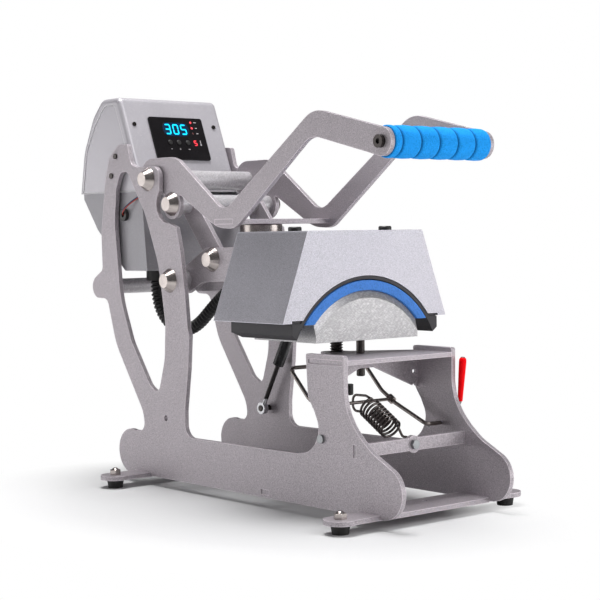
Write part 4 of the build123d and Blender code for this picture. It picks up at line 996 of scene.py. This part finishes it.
@dataclass
class PressureScrew(SubAssembly):
    """Coarse threaded rod that lifts the cap form."""

    station: float = 204.0
    bottom: float = 131.0
    top: float = 209.5
    radius: float = 7.95
    depth: float = 1.5
    pitch: float = 3.2
    plain_end: float = 1.2
    plain_ends: float = 2.5
    flank: tuple[Pair, ...] = ((0.0, 1.0), (0.16, 1.0), (0.44, 0.0), (0.58, 0.0), (0.86, 1.0))
    plug: float = 4.5
    plug_share: float = 0.995
    steps: int = 28

    def build(self) -> None:
        """Spin the thread's outline by one pitch a turn, and close its ends with plugs."""
        piece = Piece("pressure_screw_thread")
        turns = int((self.top - self.bottom - self.plain_ends) / self.pitch)
        low, core = self.bottom + self.plain_end, self.radius - self.depth
        profile = []
        for number in range(turns):
            base = low + number * self.pitch
            for share, inner in self.flank:
                radius = self.radius - self.depth * inner
                profile.append(spot(radius, self.station, base + share * self.pitch))
        profile.append(spot(core, self.station, low + turns * self.pitch))
        bmesh.ops.spin(
            piece.mesh, geom=piece.outline(profile), cent=spot(0, self.station, 0), axis=(0, 0, 1),
            dvec=(0, 0, self.pitch * MM / self.steps), angle=math.tau, steps=self.steps, use_merge=False,
        )
        piece.weld(FACET_WELD)
        plug_radius = core * MM * self.plug_share
        for middle in (self.bottom + self.plug / 2, self.top - self.plug / 2):
            bmesh.ops.create_cone(
                piece.mesh, cap_ends=True, segments=self.steps, radius1=plug_radius, radius2=plug_radius,
                depth=self.plug * MM, matrix=Matrix.Translation(spot(0, self.station, middle)),
            )
        screw = piece.finish(Coat.BLACK)
        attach(screw, "pressure")
        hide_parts("pressure_screw")


@dataclass
class GripFoam(SubAssembly):
    """Sleeve of blue foam on the handle bar, with pressed rings."""

    bar: Pair = GRIP_BAR
    radius: float = 18.1
    bore: float = 6.05
    half_length: float = 75.0
    rings: int = 5
    pitch: float = 28.4
    shift: float = -6.7
    swell: float = 0.35
    end_curve: tuple[Pair, ...] = ((0.0, -2.6), (0.5, -1.1), (1.4, -0.35), (2.8, 0.0))
    ring_side: tuple[Pair, ...] = ((5.0, 0.0), (2.4, -0.35), (1.2, -1.0), (0.5, -2.3))
    steps: int = 72

    def profile(self) -> list[Pair]:
        """Give the section from one end of the bore round to the other.

        Returns:
            Points of distance along the bar and radius.
        """
        end = self.half_length
        section = [(-end, self.bore)]
        section += [(inward - end, self.radius + rise) for inward, rise in self.end_curve]
        valley = [(-along, rise) for along, rise in self.ring_side] + list(reversed(self.ring_side))
        first = self.shift - (self.rings - 1) / 2 * self.pitch
        for number in range(self.rings):
            middle = first + number * self.pitch
            section += [(middle + along, self.radius + rise) for along, rise in valley]
            section += [(middle + self.pitch / 2, self.radius + self.swell)]
        section += [(end - inward, self.radius + rise) for inward, rise in reversed(self.end_curve)]
        return section + [(end, self.bore)]

    def build(self) -> None:
        """Spin the sleeve about the bar."""
        piece = Piece("grip_foam_sleeve")
        station, height = self.bar
        points = [spot(along, station, height + radius) for along, radius in self.profile()]
        piece.turn(piece.outline(points, closed=True), spot(0, *self.bar), ACROSS, self.steps)
        sleeve = piece.finish(Coat.GRIP)
        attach(sleeve, "handle")
        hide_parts("grip_foam")


@dataclass
class FormPad(SubAssembly):
    """Blue silicone pad bent over the cap form."""

    front: float = 147.5
    length: float = 113.0
    centre_height: float = 150.0
    inner: float = 108.05
    outer: float = 120.0
    edge_height: float = 221.0
    steps: int = 96
    rounding: float = 1.2
    rounding_steps: int = 3
    sharp: float = 40.0

    def build(self) -> None:
        """Spin the pad's section over the form, cut its lower edges level and soften them."""
        piece = Piece("form_silicone_pad")
        rear = self.front + self.length
        corners = [
            spot(x, station, self.centre_height)
            for x, station in (
                (self.inner, self.front), (self.outer, self.front), (self.outer, rear), (self.inner, rear)
            )
        ]
        geometry = piece.outline(corners, closed=True)
        face = piece.mesh.faces.new([item for item in geometry if isinstance(item, bmesh.types.BMVert)])
        bmesh.ops.spin(
            piece.mesh, geom=[face], cent=spot(0, self.front, self.centre_height), axis=(0, -1, 0),
            angle=math.pi, steps=self.steps, use_merge=False,
        )
        bmesh.ops.bisect_plane(
            piece.mesh, geom=[*piece.mesh.verts, *piece.mesh.edges, *piece.mesh.faces],
            plane_co=spot(0, self.front, self.edge_height), plane_no=(0, 0, 1), clear_inner=True,
        )
        bmesh.ops.holes_fill(piece.mesh, edges=[e for e in piece.mesh.edges if e.is_boundary], sides=4)
        limit = math.radians(self.sharp)
        sharp = [e for e in piece.mesh.edges if e.is_manifold and e.calc_face_angle(0) > limit]
        piece.soften(sharp, self.rounding, self.rounding_steps)
        pad = piece.finish(Coat.PAD)
        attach(pad, "form")
        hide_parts("form_pad")


@dataclass
class LeverSleeve(SubAssembly):
    """Dipped vinyl sleeve on the bail's lever, swelling to a rounded tip."""

    x: float = 95.0
    low: Pair = (90.7, 123.0)
    high: Pair = (85.1, 176.5)
    body: tuple[Pair, ...] = ((0.8, 2.42), (0.8, 2.8), (1.5, 3.1), (10, 3.3), (22, 3.7), (36, 4.2))
    tip: tuple[Pair, ...] = ((6, 4.5), (3.5, 4.4), (1.8, 3.8), (0.7, 2.8), (0.1, 1.4), (0, 0.0))
    steps: int = 36

    def build(self) -> None:
        """Spin the sleeve's swelling section about the lever."""
        piece = Piece("red_lever_sleeve")
        start, end = spot(self.x, *self.low), spot(self.x, *self.high)
        axis = (end - start).normalized()
        length = (end - start).length / MM
        section = [*self.body, *((length - back, radius) for back, radius in self.tip)]
        points = [start + axis * along * MM + ACROSS * radius * MM for along, radius in section]
        piece.turn(piece.outline(points), start, axis, self.steps)
        sleeve = piece.finish(Coat.VINYL)
        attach(sleeve, "bail")
        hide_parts("lever_sleeve")


@dataclass
class DisplayFace(SubAssembly):
    """The lit figures, lamps and printed marks of the keypad panel on the sloping face.

    Places on the panel are x and the height above the bench. A figure's size is its width, height and stroke.
    """

    station: float = 507.7
    height: float = 415.5
    lean: float = 21.65
    panel_depth: float = 2.4
    window_at: Pair = (-0.8, 468.4)
    window_size: Spot = (43.0, 20.0, 0.12)
    heat: str = "305"
    heat_across: tuple[float, ...] = (-14.4, -1.3, 11.6)
    heat_height: float = 468.3
    heat_size: Spot = (9.4, 15.3, 1.9)
    small: str = "5"
    small_at: Pair = (26.4, 450.0)
    small_size: Spot = (5.4, 7.9, 1.25)
    lit_lamps: tuple[Pair, ...] = ((26.3, 478.6), (26.3, 470.8))
    lit_width: float = 3.4
    dim_at: Pair = (26.3, 463.3)
    dim_width: float = 3.2
    lamp_flatness: float = 0.3
    marks: tuple[tuple[Pair, Pair], ...] = (
        ((33.5, 478.8), (4.6, 1.1)), ((33.3, 471.0), (3.4, 1.1)), ((33.6, 463.4), (3.8, 1.1)),
        ((-15.5, 441.2), (2.4, 0.8)), ((-1.4, 441.2), (2.6, 0.8)), ((13.7, 441.2), (3.4, 0.9)),
        ((-1.4, 441.2), (0.8, 2.4)), ((35.2, 451.5), (1.0, 6.0)), ((35.2, 447.8), (2.2, 2.2)),
    )
    mark_depth: float = 0.1
    segment_depth: float = 0.24
    level_gap: float = 1.2
    upright_gap: float = 0.25
    window_stand: float = 0.05
    lamp_stand: float = 0.05
    mark_stand: float = 0.06
    figure_stand: float = 0.22
    corner_share: float = 0.42
    corner_steps: int = 3
    near_upright: float = 0.9

    segments: ClassVar[dict[str, str]] = {"0": "abcdef", "3": "abgcd", "5": "afgcd"}

    def plane(self, at: Pair, stand: float) -> Matrix:
        """Give the frame of a spot on the panel.

        Args:
            at: The place on the panel.
            stand: Millimetres above the panel's surface.

        Returns:
            A matrix with x across, y up the slope and z out of the panel.
        """
        x, height = at
        lean = math.radians(self.lean)
        up = Vector((0, math.sin(lean), math.cos(lean)))
        out = Vector((0, -math.cos(lean), math.sin(lean)))
        along = (height - self.height) / math.cos(lean)
        origin = spot(x, self.station, self.height) + (up * along + out * (self.panel_depth + stand)) * MM
        return Matrix.Translation(origin) @ Matrix((ACROSS, up, out)).transposed().to_4x4()

    def bar(self, piece: Piece, frame: Matrix, size: Spot, middle: Pair = (0.0, 0.0)) -> None:
        """Add a flat rounded bar to a piece.

        Args:
            piece: The mesh it joins.
            frame: The frame it is drawn in.
            size: Its width, height and thickness.
            middle: Its middle across and up the slope.
        """
        made = bmesh.ops.create_cube(piece.mesh, size=1.0)
        stretch = Matrix.Diagonal((*(side * MM for side in size), 1.0))
        moved = Matrix.Translation((middle[0] * MM, middle[1] * MM, 0))
        bmesh.ops.transform(piece.mesh, verts=made["verts"], matrix=frame @ moved @ stretch)
        out = frame.to_3x3() @ Vector((0, 0, 1))
        upright = [
            edge for edge in {e for vert in made["verts"] for e in vert.link_edges}
            if abs((edge.verts[1].co - edge.verts[0].co).normalized().dot(out)) > self.near_upright
        ]
        piece.soften(upright, min(size[:2]) * self.corner_share, self.corner_steps)

    def digit(self, piece: Piece, figure: str, at: Pair, size: Spot) -> None:
        """Add one seven-segment figure.

        Args:
            piece: The mesh it joins.
            figure: The figure shown.
            at: The place of its middle.
            size: Its width, height and stroke.
        """
        frame = self.plane(at, self.figure_stand)
        wide, tall, stroke = size
        reach, rise = (wide - stroke) / 2, (tall - stroke) / 4
        level = (wide - self.level_gap * stroke, stroke, self.segment_depth)
        upright = (stroke, 2 * rise - self.upright_gap * stroke, self.segment_depth)
        places = {
            "a": (level, (0, 2 * rise)), "g": (level, (0, 0)), "d": (level, (0, -2 * rise)),
            "f": (upright, (-reach, rise)), "b": (upright, (reach, rise)), "c": (upright, (reach, -rise)),
            "e": (upright, (-reach, -rise)),
        }
        for letter in self.segments[figure]:
            self.bar(piece, frame, *places[letter])

    def lamp(self, piece: Piece, at: Pair, wide: float) -> None:
        """Add a round indicator lamp.

        Args:
            piece: The mesh it joins.
            at: The place of its middle.
            wide: Its width.
        """
        made = bmesh.ops.create_icosphere(piece.mesh, subdivisions=3, radius=wide / 2 * MM)
        flat = Matrix.Diagonal((1.0, 1.0, self.lamp_flatness, 1.0))
        bmesh.ops.transform(piece.mesh, verts=made["verts"], matrix=self.plane(at, self.lamp_stand) @ flat)

    def build(self) -> None:
        """Make the window, the figures, the lamps and the printed marks."""
        window = Piece("display_window")
        figures = Piece("display_figures")
        red = Piece("display_red_lamps")
        dim = Piece("display_dim_lamp")
        marks = Piece("display_printed_marks")
        self.bar(window, self.plane(self.window_at, self.window_stand), self.window_size)
        for figure, x in zip(self.heat, self.heat_across):
            self.digit(figures, figure, (x, self.heat_height), self.heat_size)
        for at in self.lit_lamps:
            self.lamp(red, at, self.lit_width)
        self.digit(red, self.small, self.small_at, self.small_size)
        self.lamp(dim, self.dim_at, self.dim_width)
        for at, size in self.marks:
            self.bar(marks, self.plane(at, self.mark_stand), (*size, self.mark_depth))
        for piece, coat in (
            (window, Coat.WINDOW), (figures, Coat.DIGITS), (red, Coat.RED_LIGHT), (dim, Coat.DIM_LIGHT),
            (marks, Coat.PRINT),
        ):
            made = piece.finish(coat, smooth=piece is dim)
            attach(made, "frame")


# ------------------------------------------------------------------ studio
@dataclass(frozen=True)
class Softbox:
    """A soft oblong lamp, in metres and watts, that faces a point."""

    name: str
    at: Spot
    aim: Spot
    size: Pair
    power: float

    def hang(self) -> None:
        """Put the lamp into the scene."""
        data = bpy.data.lights.new(self.name, "AREA")
        data.shape = "RECTANGLE"
        data.size, data.size_y = self.size
        data.energy = self.power
        holder = placed(self.name, data)
        holder.location = self.at
        holder.rotation_euler = (Vector(self.at) - Vector(self.aim)).to_track_quat("Z", "Y").to_euler()


@dataclass
class Studio(SubAssembly):
    """Pale floor, soft lamps, world and camera, in metres and degrees."""

    camera_at: Spot = (-1.23423, -1.51947, 0.32352)
    camera_turn: Spot = (87.6114, 0.7989, -40.0911)
    lens: float = 93.12
    sensor: float = 36.0
    seen_from: float = 0.05
    seen_to: float = 50.0
    fill_colour: Colour = (0.97, 0.97, 1.0)
    fill_strength: float = 0.15
    floor_half: float = 6.0
    floor_roughness: float = 0.6
    shadow_and_white_middle: Spot = (-0.333, -0.156, 0.0)
    shadow_and_white_stretch: Spot = (0.30, 0.45, 1.0)
    # Painted shadow: the grey of the floor round the machine.
    painted_shadow_colour: Colour = (0.60, 0.60, 0.605)
    rim_colour: Colour = (0.94, 0.94, 0.94)
    painted_shadow_edge: Pair = (0.25, 1.0)
    white_edge: Pair = (0.62, 1.05)
    softboxes: tuple[Softbox, ...] = (
        Softbox("overhead_softbox", (-0.1, 0.1, 1.9), (0.0, 0.0, 0.2), (0.9, 0.9), 36.0),
        Softbox("high_front_softbox", (0.2, -1.9, 1.5), (0.0, 0.0, 0.25), (1.1, 1.1), 17.0),
        Softbox("low_front_card", (1.5, -1.8, 0.35), (0.0, 0.0, 0.3), (1.5, 0.9), 13.0),
        Softbox("low_left_card", (-1.4, 1.3, 0.15), (0.0, 0.0, 0.2), (2.2, 1.1), 12.0),
    )

    def world(self) -> None:
        """Light evenly, and show white to the camera and to rays passed on by transmission."""
        recipe = Recipe.of_world("studio_world")
        camera = recipe.node("ShaderNodeLightPath", result="Is Camera Ray")
        passed = recipe.node("ShaderNodeLightPath", result="Is Transmission Ray")
        fill = recipe.node(
            "ShaderNodeBackground", {}, {"Color": self.fill_colour, "Strength": self.fill_strength}
        )
        white = recipe.node("ShaderNodeBackground", {}, {"Color": WHITE, "Strength": 1.0})
        both = recipe.node("ShaderNodeMixShader", {}, {0: camera.highest(passed), 1: fill, 2: white})
        bpy.context.scene.world = recipe.show(both)

    def floor_material(self) -> bpy.types.Material:
        """Make the floor's finish: a grey pool of painted shadow round the machine that fades to white for
        the camera.

        Returns:
            The material.
        """
        recipe = Recipe.of_material("pale_studio_floor")
        away = recipe.vectors("DISTANCE", recipe.place(self.shadow_and_white_stretch), self.shadow_and_white_middle)
        speck = recipe.noise(recipe.place(), 900.0)
        # Painted shadow: the floor's colour darkens to grey towards the middle of the pool.
        outside_painted_shadow = away.spread(*self.painted_shadow_edge) + speck.swing(0.1)
        tone = recipe.blend(outside_painted_shadow, self.painted_shadow_colour, self.rim_colour)
        matt = recipe.node(
            "ShaderNodeBsdfPrincipled", {}, {"Base Color": tone, "Roughness": self.floor_roughness}
        )
        white = recipe.node("ShaderNodeEmission", {}, {"Color": WHITE, "Strength": 1.0})
        seen = recipe.node("ShaderNodeLightPath", result="Is Camera Ray")
        far = away.spread(*self.white_edge)
        return recipe.show(recipe.node("ShaderNodeMixShader", {}, {0: far * seen, 1: matt, 2: white}))

    def floor(self) -> None:
        """Lay the pale floor."""
        mesh = bmesh.new()
        bmesh.ops.create_grid(mesh, x_segments=4, y_segments=4, size=self.floor_half)
        data = bpy.data.meshes.new("studio_floor")
        mesh.to_mesh(data)
        mesh.free()
        data.materials.append(self.floor_material())
        placed("studio_floor", data)

    def camera(self) -> None:
        """Set the camera at the viewing angle."""
        data = bpy.data.cameras.new("studio_camera")
        data.lens = self.lens
        data.sensor_width = self.sensor
        data.clip_start = self.seen_from
        data.clip_end = self.seen_to
        holder = placed("studio_camera", data)
        holder.location = self.camera_at
        holder.rotation_euler = tuple(math.radians(angle) for angle in self.camera_turn)
        bpy.context.scene.camera = holder

    def build(self) -> None:
        """Set up the whole studio."""
        self.world()
        self.floor()
        for softbox in self.softboxes:
            softbox.hang()
        self.camera()
        bpy.context.scene.view_settings.view_transform = "Standard"


def main() -> None:
    """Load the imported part, dress it, add its fine pieces and set up the studio."""
    logging.basicConfig(level=logging.INFO, format="%(name)s: %(message)s")
    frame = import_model()
    WARDROBE.dress(frame["nodes"])
    for assembly in (
        HeaterHose(), MagnetLeads(), BailSpring(frame["nodes"]["bail_spring"]), PressureScrew(), GripFoam(),
        FormPad(), LeverSleeve(), DisplayFace(), Studio(),
    ):
        assembly.build()


if __name__ == "__main__":
    main()
